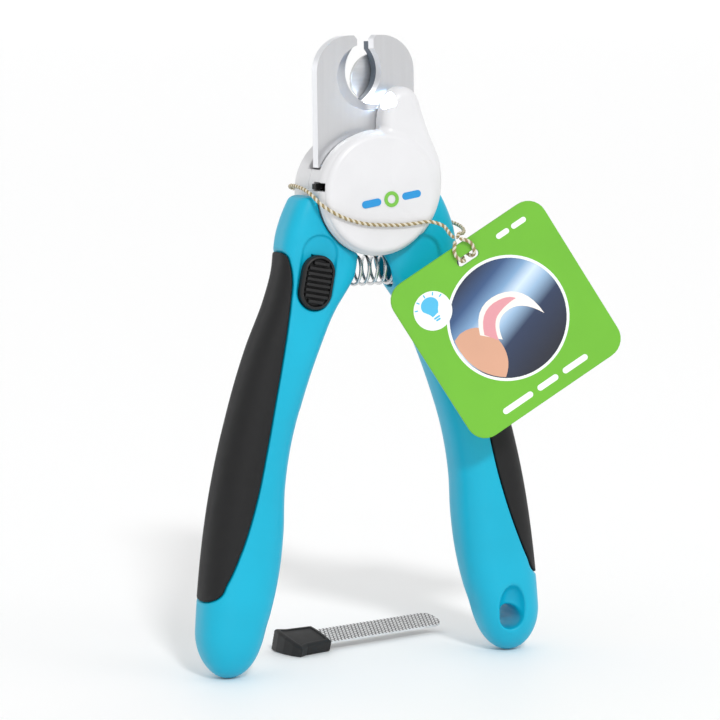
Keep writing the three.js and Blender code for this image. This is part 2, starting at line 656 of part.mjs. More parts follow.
function fileStrip() {
  const half = FILE_W / 2;
  const shape = new THREE.Shape();
  shape.moveTo(-FILE_L / 2, -half);
  shape.lineTo(FILE_L / 2 - 2, -half);
  shape.absarc(FILE_L / 2 - 2, -half + 2, 2, -Math.PI / 2, 0, false);
  shape.absarc(FILE_L / 2 - 2, half - 2, 2, 0, Math.PI / 2, false);
  shape.lineTo(-FILE_L / 2, half);
  return new THREE.ExtrudeGeometry(shape, { depth: FILE_T, bevelEnabled: false, curveSegments: 6 })
    .translate(4.5, 0, 1.1);
}

// The cap stands flat on the ground and is deeper along its back, so that the strip is easy to
// pick up.
function fileCap() {
  const [tip, back] = [-FILE_L / 2 + 7.5, -FILE_L / 2 - 5];
  const points = [[tip, -5], [tip, 5], [back + 4, 5.6], [back, CAP_HALF_W], [back + 0.9, 0],
    [back, -CAP_HALF_W], [back + 4, -5.6]];
  const body = new THREE.ExtrudeGeometry(outline(points.reverse()), {
    depth: 7, bevelThickness: 0.4, bevelSize: 0.4, bevelOffset: -0.4, bevelSegments: 1,
  }).translate(0, 0, -4);
  const mouth = block(-FILE_L / 2 + 4, tip + 1, -FILE_W / 2 - GAP, FILE_W / 2 + GAP, 0.8, 2.4);
  const ground = block(-THROUGH, THROUGH, -THROUGH, THROUGH, -20, 0).translate([0, 0, -capLift])
    .rotate([-FILE_TILT, 0, 0]);
  return cut(solid(body), mouth, ground);
}

add('file_strip', fileStrip(), MATERIAL.steel, file);
add('file_cap', fileCap(), MATERIAL.black, file);

// ---------- hang tag and its twine ----------

const tag = new THREE.Group();
tag.position.set(...TAG_THROAT);
tag.rotation.set(0, -TAG_ROLL * Math.PI / 180, TAG_YAW * Math.PI / 180, 'ZYX');
clipper.add(tag);

function tagCard() {
  const half = TAG_SIZE / 2;
  const straight = half - TAG_CORNER_R;
  const shape = new THREE.Shape();
  [[1, 1], [-1, 1], [-1, -1], [1, -1]].forEach(([sx, sz], i) => {
    shape.absarc(sx * straight, sz * straight - TAG_CENTRE_DROP, TAG_CORNER_R, i * Math.PI / 2,
      (i + 1) * Math.PI / 2, false);
  });
  const slot = new THREE.Path();
  [[2.2, -1], [-2.2, 1]].forEach(([x, turn]) => {
    slot.absarc(x, -TAG_SLOT_DROP, 1.1, turn * Math.PI / 2, -turn * Math.PI / 2, false);
  });
  shape.holes.push(slot);
  return plate(shape, -TAG_T / 2, TAG_T / 2, 6);
}

// The hitch: the twine's own loop, through the slot and round the web above it.
function tagHitch() {
  const y = TAG_T / 2 + TWINE_R + GAP;
  return wire([[-0.8, -y, 0.2], [-2.6, -y - 0.2, -2.4], [-2.2, -y, -5.0], [-1.4, -0.4, -5.75],
    [-0.9, y, -5.2], [0, y + 0.3, -2.2], [0.9, y, -5.2], [1.4, -0.4, -5.75], [2.2, -y, -5.0],
    [2.6, -y - 0.2, -2.4], [0.8, -y, 0.2]], TWINE_R, 40, 6);
}

add('tag_card', tagCard(), MATERIAL.card, tag);
add('tag_hitch', tagHitch(), MATERIAL.twine, tag);

// The loop of twine that lies on the shoulders, round the head.
const TWINE_ROUTE = [[17.6, -16.2, -11.2], [16.9, -13.6, -9.2], [13.5, -12.55, -8.0],
  [9, -12.45, -8.3], [4.5, -12.45, -8.5], [-0.5, -12.45, -8.3], [-5.5, -12.45, -7.8],
  [-10.5, -12.45, -6.4], [-14.4, -12.3, -4.6], [-17.2, -10.4, -2.4], [-18.6, -7.4, 0.0],
  [-19.0, -2.5, 1.4], [-18.9, 3, 1.9], [-18.0, 8.4, 1.7], [-16.4, 11.7, 1.0], [-13.6, 12.6, 0.1],
  [-9.5, 12.6, -1.2], [-4, 12.5, -2.4], [3, 12.5, -3.8], [10, 12.5, -5.2], [17, 12.2, -6.8],
  [22.2, 10.4, -8.0], [25.4, 6.4, -8.8], [26.8, 1.6, -9.5], [26.8, -3.6, -10.3], [25.2, -8.8, -11.1],
  [22.6, -13.2, -11.4], [19.6, -16.6, -11.3]];
add('tag_twine', wire(TWINE_ROUTE, TWINE_R, 78, 6), MATERIAL.twine);

export default clipper;
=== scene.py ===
"""Looks for a plier-type pet nail clipper with a lamp in its head, its hang tag and nail file.

Shapes are worked out in millimetres about the pivot axis, with X from the left handle to the
right one, -Y towards the front cover and Z up, and go to the row frame through to_row(). Rounded
mouldings are fields: functions that give a point's distance to the surface, negative inside.
"""

import json
import math

import bmesh
import bpy
import numpy as np
from mathutils import Matrix, Vector


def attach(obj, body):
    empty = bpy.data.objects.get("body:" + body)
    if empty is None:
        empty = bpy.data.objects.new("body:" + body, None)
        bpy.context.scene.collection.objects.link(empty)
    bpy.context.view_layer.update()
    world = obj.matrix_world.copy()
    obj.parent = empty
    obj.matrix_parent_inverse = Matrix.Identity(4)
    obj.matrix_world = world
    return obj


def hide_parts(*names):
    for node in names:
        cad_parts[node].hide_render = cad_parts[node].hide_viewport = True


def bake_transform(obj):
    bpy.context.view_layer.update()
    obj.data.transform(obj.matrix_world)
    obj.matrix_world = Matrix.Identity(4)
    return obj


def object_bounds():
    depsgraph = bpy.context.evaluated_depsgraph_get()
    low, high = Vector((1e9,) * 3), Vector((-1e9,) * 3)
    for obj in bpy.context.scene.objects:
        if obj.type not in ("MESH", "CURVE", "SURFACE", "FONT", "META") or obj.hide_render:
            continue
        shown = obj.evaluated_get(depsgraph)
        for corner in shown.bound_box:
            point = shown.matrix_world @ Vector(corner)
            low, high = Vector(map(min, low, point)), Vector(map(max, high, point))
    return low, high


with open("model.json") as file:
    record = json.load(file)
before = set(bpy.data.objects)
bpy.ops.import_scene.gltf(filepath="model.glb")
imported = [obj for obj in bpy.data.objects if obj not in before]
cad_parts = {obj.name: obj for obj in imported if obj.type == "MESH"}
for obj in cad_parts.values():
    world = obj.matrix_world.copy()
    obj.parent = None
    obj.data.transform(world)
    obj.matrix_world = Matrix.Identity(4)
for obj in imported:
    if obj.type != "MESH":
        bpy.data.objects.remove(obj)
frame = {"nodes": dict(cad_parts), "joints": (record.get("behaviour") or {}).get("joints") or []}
cad_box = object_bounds()

MM = 0.001
SQUEEZE = next(j for j in frame["joints"] if j["name"] == "handle_squeeze")
PIVOT_Z = SQUEEZE["pos_m"][2] / MM
CELL = 0.42       # grid of the rounded mouldings

# ---------- sizes ----------

COVER_R = 16.07
COVER_Y = 11.6
COVER_INNER_Y = 3.9
COVER_EDGE = 1.7          # rounding of the covers' edges
BRIM_R = 16.8             # front cover, where it stands in front of the handles
BRIM_EDGE = 3.6
BRIM_BACK_Y = 7.5
COVER_WALL = 1.7
MARK_OUT, MARK_IN = 0.17, 0.2    # a printed mark's reach in front of and behind the cover's face
SEAT_R = 16.6
RIM_INNER_R = 14.3
RIM_ANGLES = (156, 192)   # degrees of the left rim, where the covers close round the switch
RIM_SEAM_Y = 1.35
COVER_SCREWS = [(12.0, 0.2), (-12.0, -2.4)]
SCREW_HOLE_R = 1.2
DOOR_SCREW_AT = (0, 2.6)
CELL_AT = (0, -7)
BLADE_Y = 0.2
BLADE_T = 3.4
GAP = 0.3
TANG_W = 8.0
TANG_LINE = [(0, 0), (9.5, -9.5), (15.5, -21), (21.5, -35), (26.9, -49.04)]
GRIP_DEPTH = 2.0
SEAM = 0.14               # half of the groove between a grip and its handle
LOCK_TILT = math.radians(11)
LOCK_AT = (-17.57, -23.17)
LOCK_TRAVEL = 4.9
BUTTON_L = 14.6
BUTTON_W = 9.2
RECESS_FLOOR_Y = -6.2
SPRING_Z = -21.2
SPRING_R = 3.75
SPRING_WIRE_R = 0.45
SPRING_HALF_L = 8.6
SPRING_TURNS = 8
SOCKET_R = 4.7
SOCKET_END_X = 9
HANG_HOLE_AT = (39.5, -118.4)
HANG_HOLE_R = 3.2
FOOT_START = -116.0
FOOT_DEPTH = 128.7
TWINE_D = 1.1
TAG_SIZE = 49.0
TAG_CORNER_R = 5.4
TAG_T = 0.8
TAG_YAW = math.radians(-12)
TAG_ROLL = math.radians(32)
TAG_SLOT_DROP = 5.6
TAG_CENTRE_DROP = 25.6
FILE_AT = (9.5, 27)
FILE_YAW = math.radians(13)
FILE_TILT = math.radians(16)
CAP_HALF_W = 6.8
FILE_L = 44.0
FILE_W = 8.0
FILE_T = 1.0
FILE_END_R = 3.2
TOOTH_PITCH = 1.2
TOOTH_SLANT = 0.5
GROOVE_SHADE_SHARE = 0.25       # share of a tooth's height whose faces take the painted shade of a groove's bottom

# Half outlines of a handle, as (height, distance from the middle).
OUTER = [(8, 15), (2, 18.8), (-1.5, 21.0), (-6, 23.2), (-11, 24.9), (-15, 25.6), (-20, 26.2),
         (-28, 28.5), (-41, 34.1), (-57, 39.7), (-78, 45.1), (-99, 48.5), (-116, 50.0),
         (-130, 50.3)]
INNER = [(8, 3.6), (2, 3.6), (-17, 3.6), (-22.6, 4.8), (-25.3, 6.5), (-30.5, 10.1), (-41, 15.0),
         (-57, 20.8), (-67, 23.6), (-78, 25.4), (-90, 26.0), (-99, 27.1), (-110, 29.7),
         (-116, 31.8), (-130, 33.4)]
HALF_THICK = [(8, 6.0), (2, 6.4), (-4, 6.9), (-16, 7.1), (-26, 7.7), (-45, 8.3), (-70, 8.7),
              (-92, 9.0), (-108, 8.8), (-130, 8.3)]
GRIP_EDGE = [(8, 60), (-12, 40), (-13.4, 28.0), (-14.2, 26.2), (-15.6, 24.9), (-18.5, 24.1),
             (-23.8, 24.0), (-27.4, 24.6), (-40.5, 27.1), (-53.7, 29.9), (-66.8, 32.7),
             (-80, 35.9), (-93, 40.3), (-102, 44.4), (-106, 46.8), (-108, 50.2), (-112, 60),
             (-130, 60)]


def to_row(points):
    """Points in millimetres about the pivot, as metres in the row frame."""
    return (np.asarray(points, float) + (0, 0, PIVOT_Z)) * MM


def show(name, data):
    """A new object in the scene."""
    made = bpy.data.objects.new(name, data)
    bpy.context.scene.collection.objects.link(made)
    return made


# ---------- camera and stage ----------

CAMERA_AZIMUTH = math.radians(-24.13)
CAMERA_ELEVATION = math.radians(6.46)
CAMERA_DISTANCE = 0.86935
CAMERA_ROLL = math.radians(-0.70)
CAMERA_LENS = 161.2
CAMERA_TARGET = Vector((-0.00193, 0, 0.02325))
SUN_FROM = (-0.12, -0.80, 0.58)


def make_camera():
    a, e = CAMERA_AZIMUTH, CAMERA_ELEVATION
    back = Vector((math.sin(a) * math.cos(e), -math.cos(a) * math.cos(e), math.sin(e)))
    right = Vector((math.cos(a), math.sin(a), 0))
    up = back.cross(right)
    tilted_right = right * math.cos(CAMERA_ROLL) + up * math.sin(CAMERA_ROLL)
    tilted_up = back.cross(tilted_right)
    data = bpy.data.cameras.new("camera")
    data.lens = CAMERA_LENS
    data.sensor_width = 36
    data.clip_end = 200
    camera = show("camera", data)
    turn = Matrix((tilted_right, tilted_up, back)).transposed().to_4x4()
    camera.matrix_world = Matrix.Translation(CAMERA_TARGET + back * CAMERA_DISTANCE) @ turn
    bpy.context.scene.camera = camera


def area_light(name, place, target, size, energy):
    data = bpy.data.lights.new(name, "AREA")
    data.shape = "DISK"
    data.size = size
    data.energy = energy
    light = show(name, data)
    light.location = place
    light.rotation_euler = (Vector(target) - Vector(place)).to_track_quat("-Z", "Y").to_euler()


def make_lights():
    world = bpy.data.worlds.new("world")
    world.use_nodes = True
    world.node_tree.nodes["Background"].inputs["Color"].default_value = (1, 1, 1, 1)
    world.node_tree.nodes["Background"].inputs["Strength"].default_value = 0.8
    bpy.context.scene.world = world
    sun_data = bpy.data.lights.new("sun", "SUN")
    sun_data.energy = 1.3
    sun_data.angle = math.radians(7)
    show("sun", sun_data).rotation_euler = Vector(SUN_FROM).to_track_quat("Z", "Y").to_euler()
    area_light("key", (0.55, -0.75, 0.85), (0, 0, 0.02), 0.35, 0.6)
    bpy.context.scene.view_settings.view_transform = "Standard"


def make_floor():
    """A wide round floor whose far rim stands up, so that its edge is never seen as a line."""
    mesh = bpy.data.meshes.new("floor")
    radius, rim, z, steps = 40.0, 9.0, cad_box[0][2], 96
    turn = [2 * math.pi * i / steps for i in range(steps)]
    low = [(radius * math.cos(t), radius * math.sin(t), z) for t in turn]
    high = [(x * 1.08, y * 1.08, z + rim) for x, y, _ in low]
    walls = [(steps + i, steps + (i + 1) % steps, (i + 1) % steps, i) for i in range(steps)]
    mesh.from_pydata(low + high, [], [tuple(range(steps)), *walls])
    floor = show("floor", mesh)
    plain = bpy.data.materials.new("floor")
    plain.use_nodes = True
    shader = plain.node_tree.nodes["Principled BSDF"]
    shader.inputs["Base Color"].default_value = (0.96, 0.96, 0.96, 1)
    shader.inputs["Roughness"].default_value = 0.6
    floor.data.materials.append(plain)


# ---------- materials ----------

def srgb(red, green, blue):
    """A colour of 0 to 255 values, as the linear values that shaders take."""
    values = [v / 255 for v in (red, green, blue)]
    return tuple(v / 12.92 if v <= 0.04045 else ((v + 0.055) / 1.055) ** 2.4 for v in values)


class Finish:
    """A node material: a Principled shader fed by noises in the object's own coordinates."""

    def __init__(self, name, roughness, metallic=0.0, **sockets):
        self.material = bpy.data.materials.new(name)
        self.material.use_nodes = True
        self.tree = self.material.node_tree
        self.shader = self.tree.nodes["Principled BSDF"]
        self.shader.inputs["Roughness"].default_value = roughness
        self.shader.inputs["Metallic"].default_value = metallic
        for socket, value in sockets.items():
            self.shader.inputs[socket.replace("_", " ")].default_value = value
        self.place = self.tree.nodes.new("ShaderNodeTexCoord").outputs["Object"]

    def node(self, kind, **inputs):
        """A new node; each input is a value, or an output to link to it."""
        made = self.tree.nodes.new("ShaderNode" + kind)
        for name, value in inputs.items():
            socket = made.inputs[name.replace("_", " ")]
            if isinstance(value, bpy.types.NodeSocket):
                self.tree.links.new(value, socket)
            else:
                socket.default_value = value
        return made

    def link(self, output, socket):
        self.tree.links.new(output, self.shader.inputs[socket])

    def noise(self, scale, stretch=(1, 1, 1)):
        """A noise of this many waves per metre, stretched along the axes."""
        mapping = self.node("Mapping", Scale=stretch, Vector=self.place)
        return self.node("TexNoise", Scale=scale, Detail=4.0,
                         Vector=mapping.outputs["Vector"]).outputs["Fac"]

    def ramp(self, value, stops):
        """A colour from a value, by (position, colour) stops."""
        node = self.node("ValToRGB", Fac=value)
        elements = node.color_ramp.elements
        while len(elements) < len(stops):
            elements.new(0.5)
        for element, (position, colour) in zip(elements, stops):
            element.position = position
            element.color = (*colour, 1)
        return node.outputs["Color"]

    def colour(self, low, high, scale=60.0, **noise):
        """Colour that drifts between two near shades."""
        mixed = self.ramp(self.noise(scale, **noise), [(0.35, low), (0.65, high)])
        self.link(mixed, "Base Color")
        return self

    def rough(self, low, high, scale=400.0, **noise):
        value = self.noise(scale, **noise)
        node = self.node("MapRange", To_Min=low, To_Max=high, Value=value)
        self.link(node.outputs["Result"], "Roughness")
        return self

    def bump(self, height_mm, scale, strength=1.0, **noise):
        height = self.noise(scale, **noise)
        node = self.node("Bump", Distance=height_mm * MM, Strength=strength, Height=height)
        self.link(node.outputs["Normal"], "Normal")
        return self


def tint(colour, factor):
    return tuple(min(1.0, c * factor) for c in colour)


def plastic(name, colour, roughness, grain_mm=0.004, grain=1800.0, coat=0.0, specular=0.5):
    finish = Finish(name, roughness, Coat_Weight=coat, Coat_Roughness=0.15,
                    Specular_IOR_Level=specular)
    finish.colour(tint(colour, 0.96), tint(colour, 1.03), 45.0)
    return finish.rough(roughness - 0.05, roughness + 0.06).bump(grain_mm, grain, 0.6).material


def steel(name, shade, roughness, brush=(1, 1, 0.02), scale=5200.0, depth_mm=0.004):
    colour = tuple(shade * c for c in (0.985, 0.99, 1.0))
    finish = Finish(name, roughness, metallic=1.0)
    finish.colour(tint(colour, 0.93), tint(colour, 1.04), scale / 4, stretch=brush)
    finish.rough(roughness - 0.06, roughness + 0.08, scale, stretch=brush)
    return finish.bump(depth_mm, scale, 0.5, stretch=brush).material


def blade_material():
    """Satin faces, and sides painted brighter than the faces as a painted highlight, picked by
    which way each surface faces; the faces look along Y in every pose.
    """
    finish = Finish("blade_steel", 0.3, metallic=1.0)
    tree = finish.tree
    parts = finish.node("SeparateXYZ", Vector=finish.node("NewGeometry").outputs["Normal"])
    facing = finish.node("Math")
    facing.operation = "ABSOLUTE"
    tree.links.new(parts.outputs["Y"], facing.inputs[0])
    # painted highlight: surfaces facing away from Y (the sides) get the brighter colour
    colour = finish.ramp(facing.outputs["Value"],
                         [(0.55, (0.86, 0.87, 0.9)), (0.9, (0.66, 0.665, 0.68))])
    drift = finish.ramp(finish.noise(900.0, stretch=(1, 1, 0.05)),
                        [(0.3, (0.96, 0.96, 0.96)), (0.7, (1, 1, 1))])
    mix = tree.nodes.new("ShaderNodeMix")
    mix.data_type = "RGBA"
    mix.blend_type = "MULTIPLY"
    mix.inputs["Factor"].default_value = 1.0
    tree.links.new(colour, mix.inputs["A"])
    tree.links.new(drift, mix.inputs["B"])
    finish.link(mix.outputs["Result"], "Base Color")
    finish.rough(0.27, 0.36, 3000.0, stretch=(1, 1, 0.04))
    return finish.bump(0.0015, 5200.0, 0.4, stretch=(1, 1, 0.03)).material


def glowing(name, colour, strength):
    finish = Finish(name, 0.2, Emission_Strength=strength, Transmission_Weight=0.3)
    finish.shader.inputs["Emission Color"].default_value = (*colour, 1)
    return finish.colour(tint(colour, 0.95), colour, 900.0).bump(0.01, 2500.0, 0.4).material


BLUE = srgb(0, 170, 202)
MATERIALS = {
    "blue_plastic": plastic("blue_plastic", BLUE, 0.38, 0.003, 2600.0, specular=0.35),
    "grip_rubber": plastic("grip_rubber", srgb(22, 22, 23), 0.6, 0.014, 3600.0, specular=0.3),
    "white_plastic": plastic("white_plastic", srgb(217, 217, 219), 0.36, 0.003, 2200.0, coat=0.1),
    "black_plastic": plastic("black_plastic", srgb(20, 20, 21), 0.5, 0.010, 3200.0, specular=0.4),
    "slate_plastic": plastic("slate_plastic", srgb(70, 84, 100), 0.4, 0.006, 3200.0),
    "blade_steel": blade_material(),
    # dark steel for the blades' bevel faces: a painted dark reflection along their edges
    "blade_edge_painted_dark": steel("blade_edge_painted_dark", 0.2, 0.34, (1, 1, 1), 2600.0),
    "fastener_steel": steel("fastener_steel", 0.62, 0.34, (1, 1, 1), 2600.0),
    "stamped_steel": steel("stamped_steel", 0.66, 0.3, (0.03, 1, 1)),
    "spring_steel": steel("spring_steel", 0.7, 0.2, (0.2, 1, 1), 3000.0, 0.002),
    "file_steel": steel("file_steel", 0.86, 0.34, (1, 1, 1), 4000.0),
    # dark steel for the faces low in the file's grooves: painted shade
    "file_groove_painted_shade": steel("file_groove_painted_shade", 0.16, 0.5, (1, 1, 1), 4000.0),
    "cell_steel": steel("cell_steel", 0.66, 0.26, (1, 1, 1), 1800.0),
    "contact_brass": steel("contact_brass", 0.6, 0.3, (1, 0.1, 1), 2200.0),
    "clear_lens": glowing("clear_lens", (0.66, 0.83, 1.0), 20.0),
    "circuit_board": plastic("circuit_board", srgb(40, 112, 62), 0.4),
    "red_insulation": plastic("red_insulation", srgb(178, 32, 26), 0.45),
    "black_insulation": plastic("black_insulation", srgb(28, 28, 28), 0.45),
    "tag_green": plastic("tag_green", srgb(104, 180, 30), 0.42, 0.006, 1500.0, coat=0.3),
    "twine_cream": plastic("twine_cream", srgb(214, 208, 190), 0.85, 0.05, 5200.0),
    "twine_tan": plastic("twine_tan", srgb(150, 132, 92), 0.85, 0.05, 5200.0),
}


# ---------- meshes ----------

def make_object(name, mesh, materials, body, replaces=()):
    piece = show(name, mesh)
    for material in materials:
        piece.data.materials.append(MATERIALS[material])
    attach(piece, body)
    if replaces:
        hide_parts(*replaces)
    return piece


def mesh_from(name, points, faces, smooth=True):
    mesh = bpy.data.meshes.new(name)
    mesh.from_pydata([tuple(p) for p in points], [], [tuple(int(i) for i in f) for f in faces])
    mesh.update()
    if smooth:
        mesh.shade_smooth()
    return mesh


def gradient(field, points, step=0.02):
    slopes = []
    for axis in range(3):
        shift = np.zeros(3)
        shift[axis] = step
        slopes.append((field(points + shift) - field(points - shift)) / (2 * step))
    return np.stack(slopes, 1)


def settle(field, points, reach, steps=3):
    """Moves points onto the surface, by at most reach in each step."""
    for _ in range(steps):
        slope = gradient(field, points)
        move = field(points)[:, None] * slope / np.maximum((slope ** 2).sum(1), 0.05)[:, None]
        length = np.maximum(np.linalg.norm(move, axis=1), 1e-9)[:, None]
        points = points - move * np.minimum(1, reach / length)
    return points


def relax(points, faces):
    """Each point at the mean of its neighbours, which evens out the faces."""
    edges = np.concatenate([faces[:, [i, (i + 1) % 4]] for i in range(4)])
    count = np.maximum(np.bincount(edges.ravel(), minlength=len(points)), 1)
    total = np.stack([np.bincount(edges[:, 0], points[edges[:, 1], axis], len(points))
                      + np.bincount(edges[:, 1], points[edges[:, 0], axis], len(points))
                      for axis in range(3)], 1)
    return total / count[:, None]


def grid_values(field, low, cell, counts):
    """The field at each grid point, one layer at a time to save memory."""
    y, z = (low[i] + cell * np.arange(counts[i]) for i in (1, 2))
    layer = np.stack([np.zeros(counts[1:]), *np.meshgrid(y, z, indexing="ij")], -1).reshape(-1, 3)
    values = np.empty(counts)
    for i in range(counts[0]):
        layer[:, 0] = low[0] + cell * i
        values[i] = field(layer).reshape(counts[1:])
    return values


def surface_nets(values, low, cell):
    """Points and quads of the zero surface of a grid of values."""
    inside = values < 0
    n = np.array(values.shape) - 1
    corners = np.array([(i, j, k) for i in (0, 1) for j in (0, 1) for k in (0, 1)])
    filled = sum(inside[i:n[0] + i, j:n[1] + j, k:n[2] + k].astype(int) for i, j, k in corners)
    active = (filled > 0) & (filled < 8)
    index = np.full(active.shape, -1)
    index[active] = np.arange(active.sum())
    cells = np.argwhere(active)
    total = np.zeros((len(cells), 3))
    count = np.zeros((len(cells), 1))
    for a in corners:
        for b in corners:
            if (b - a).min() < 0 or (b - a).sum() != 1:
                continue
            va, vb = (values[tuple((cells + c).T)] for c in (a, b))
            crossed = ((va < 0) != (vb < 0))[:, None]
            t = (va / np.where(va == vb, 1, va - vb))[:, None]
            total += np.where(crossed, a + t * (b - a), 0)
            count += crossed
    points = low + cell * (cells + total / count)
    quads = []
    for d in range(3):
        step, side_a, side_b = (np.eye(3, dtype=int)[(d + i) % 3] for i in range(3))
        first = inside[tuple(slice(0, -1) if i == d else slice(None) for i in range(3))]
        second = inside[tuple(slice(1, None) if i == d else slice(None) for i in range(3))]
        places = np.argwhere(first != second)
        room = (places - side_a - side_b >= 0).all(1) & (places < n).all(1)
        places = places[room]
        ring = [places - side_a - side_b, places - side_b, places, places - side_a]
        quad = np.stack([index[tuple(cell_of.T)] for cell_of in ring], 1)
        flipped = ~first[tuple(places.T)]
        quad[flipped] = quad[flipped][:, ::-1]
        quads.append(quad)
    return points, np.concatenate(quads)


def moulding(name, field, low, high, cell=None):
    """A mesh of a field's surface in a box, with the field's own normals."""
    cell = cell or CELL
    low, high = np.array(low, float) - 1.5 * cell, np.array(high, float) + 1.5 * cell
    counts = np.ceil((high - low) / cell).astype(int) + 1
    points, quads = surface_nets(grid_values(field, low, cell, counts), low, cell)
    points = settle(field, points, 0.4 * cell)
    points = settle(field, relax(points, quads), 0.3 * cell, 4)
    normals = gradient(field, points, 0.06)
    normals /= np.maximum(np.linalg.norm(normals, axis=1), 1e-9)[:, None]
    mesh = bpy.data.meshes.new(name)
    mesh.vertices.add(len(points))
    mesh.vertices.foreach_set("co", to_row(points).ravel())
    mesh.loops.add(quads.size)
    mesh.loops.foreach_set("vertex_index", quads.ravel())
    mesh.polygons.add(len(quads))
    mesh.polygons.foreach_set("loop_start", np.arange(len(quads)) * 4)
    mesh.update(calc_edges=True)
    mesh.shade_smooth()
    mesh.normals_split_custom_set_from_vertices(normals)
    return mesh


def mould(name, field, low, high, material, body, node, cell=None):
    """A moulding in one material, which stands for one CAD node."""
    make_object(name, moulding(name, field, low, high, cell), [material], body, [node])


# ---------- field tools ----------

def round_max(a, b, r):
    """The part inside both, with edges rounded to radius r."""
    return np.minimum(np.maximum(a, b), -r) + np.hypot(np.maximum(a + r, 0), np.maximum(b + r, 0))


def round_min(a, b, r):
    """The part inside either, with inner corners rounded to radius r."""
    return -round_max(-a, -b, r)


def less(a, tool, r=0.0):
    """a with the tool cut away, and the cut's edges rounded."""
    return round_max(a, -tool, r) if r else np.maximum(a, -tool)


def box_field(p, low, high):
    middle, half = (np.add(low, high) / 2, np.subtract(high, low) / 2)
    q = np.abs(p - middle) - half
    return np.linalg.norm(np.maximum(q, 0), axis=1) + np.minimum(q.max(1), 0)


def bar_field(p, r, y0, y1, at=(0, 0)):
    """A round bar along Y."""
    around = np.hypot(p[:, 0] - at[0], p[:, 2] - at[1]) - r
    return np.maximum(around, np.abs(p[:, 1] - (y0 + y1) / 2) - (y1 - y0) / 2)


def slab(p, y0, y1):
    return np.abs(p[:, 1] - (y0 + y1) / 2) - (y1 - y0) / 2


def line_distance(x, z, line):
    """Distance to a line through (x, z) points."""
    best = np.full(len(x), 1e9)
    for (ax, az), (bx, bz) in zip(line, line[1:]):
        dx, dz = bx - ax, bz - az
        t = np.clip(((x - ax) * dx + (z - az) * dz) / (dx * dx + dz * dz), 0, 1)
        best = np.minimum(best, np.hypot(x - ax - t * dx, z - az - t * dz))
    return best


def polygon_field(x, z, corners):
    """Distance to a closed outline, negative inside."""
    distance = line_distance(x, z, corners + corners[:1])
    inside = np.zeros(len(x), bool)
    for (ax, az), (bx, bz) in zip(corners, corners[1:] + corners[:1]):
        if az == bz:
            continue
        crosses = (az > z) != (bz > z)
        inside ^= crosses & (x < ax + (z - az) * (bx - ax) / (bz - az))
    return np.where(inside, -distance, distance)


def stadium_field(u, v, length, width):
    """An upright stadium, in its own coordinates."""
    return np.hypot(u, np.maximum(np.abs(v) - (length - width) / 2, 0)) - width / 2


def smooth_profile(pairs, step=0.25):
    """A smooth curve through (key, value) pairs, as two arrays for np.interp, keys rising."""
    keys, values = np.array(sorted(pairs), float).T
    slopes = np.gradient(values, keys)
    fine = np.arange(keys[0], keys[-1] + step / 2, step)
    i = np.clip(np.searchsorted(keys, fine) - 1, 0, len(keys) - 2)
    h = keys[i + 1] - keys[i]
    t = (fine - keys[i]) / h
    curve = (values[i] * (1 + 2 * t) * (1 - t) ** 2 + values[i + 1] * t * t * (3 - 2 * t)
             + h * slopes[i] * t * (1 - t) ** 2 - h * slopes[i + 1] * t * t * (1 - t))
    return fine, curve


PROFILES = {name: smooth_profile(pairs) for name, pairs in
            {"outer": OUTER, "inner": INNER, "thick": HALF_THICK, "edge": GRIP_EDGE}.items()}


def profile(name, z):
    return np.interp(z, *PROFILES[name])


# ---------- handles ----------

def handle_skin(p, side):
    """The handle before anything is cut from it: rounded slices with a domed foot."""
    x, y, z = side * p[:, 0], p[:, 1], p[:, 2]
    inner, outer = profile("inner", z), profile("outer", z)
    a, b = (outer - inner) / 2, profile("thick", z)
    u, v = np.abs(x - (inner + outer) / 2) / a + 1e-6, np.abs(y) / b + 1e-6
    n = 2.5 + 1.3 * np.clip((z + 60) / 50, 0, 1)
    slice_f = (u ** n + v ** n) ** (1 / n)
    slope = np.hypot(u ** (n - 1) / a, v ** (n - 1) / b) * slice_f ** (1 - n)
    depth = FOOT_DEPTH + FOOT_START
    down = np.maximum(FOOT_START - z, 0) / depth
    whole = np.hypot(slice_f, down)
    steep = np.hypot(slope * slice_f / whole, down / (depth * whole))
    return (whole - 1) / np.maximum(steep, 0.02)


def grip_region(p, side):
    """Negative outside the long curved line, where the grip is."""
    z = p[:, 2]
    edge = profile("edge", z)
    lean = (profile("edge", z + 0.3) - profile("edge", z - 0.3)) / 0.6
    return (edge - side * p[:, 0]) / np.sqrt(1 + lean ** 2)


def head_end(p, side):
    """The handle's limits at the head: the round seat, the sloping shoulder and the end."""
    x, z = side * p[:, 0], p[:, 2]
    seat = SEAT_R - np.hypot(x, z)
    shoulder = 0.0995 * (x - 15) + 0.995 * (z + 0.3)
    end = -0.978 * x - 0.2073 * z
    return round_max(round_max(seat, shoulder, 0.7), end, 0.6)


def tang_pocket(p, side):
    around = line_distance(side * p[:, 0], p[:, 2], TANG_LINE) - TANG_W / 2 - GAP
    y0, y1 = BLADE_Y - GAP, BLADE_Y + BLADE_T + GAP
    return np.maximum(around, slab(p, -y1, -y0) if side > 0 else slab(p, y0, y1))


def spring_socket(p, side):
    around = np.hypot(p[:, 1], p[:, 2] - SPRING_Z) - SOCKET_R
    return np.maximum(around, np.abs(side * p[:, 0] - SOCKET_END_X / 2) - SOCKET_END_X / 2)


def handle_body(p, side):
    skin = handle_skin(p, side)
    rim = round_max(skin, SEAM - grip_region(p, side), 0.45)
    body = np.minimum(rim, skin + GRIP_DEPTH + 0.1)
    body = round_max(body, head_end(p, side), 0.9)
    return less(less(body, tang_pocket(p, side)), spring_socket(p, side), 0.5)


def lock_coordinates(p):
    """Across and up the lock's slide, from the button's middle at rest."""
    x, z = p[:, 0] - LOCK_AT[0], p[:, 2] - LOCK_AT[1]
    u = x * math.cos(LOCK_TILT) - z * math.sin(LOCK_TILT)
    v = x * math.sin(LOCK_TILT) + z * math.cos(LOCK_TILT)
    return np.stack([u, p[:, 1], v], 1)


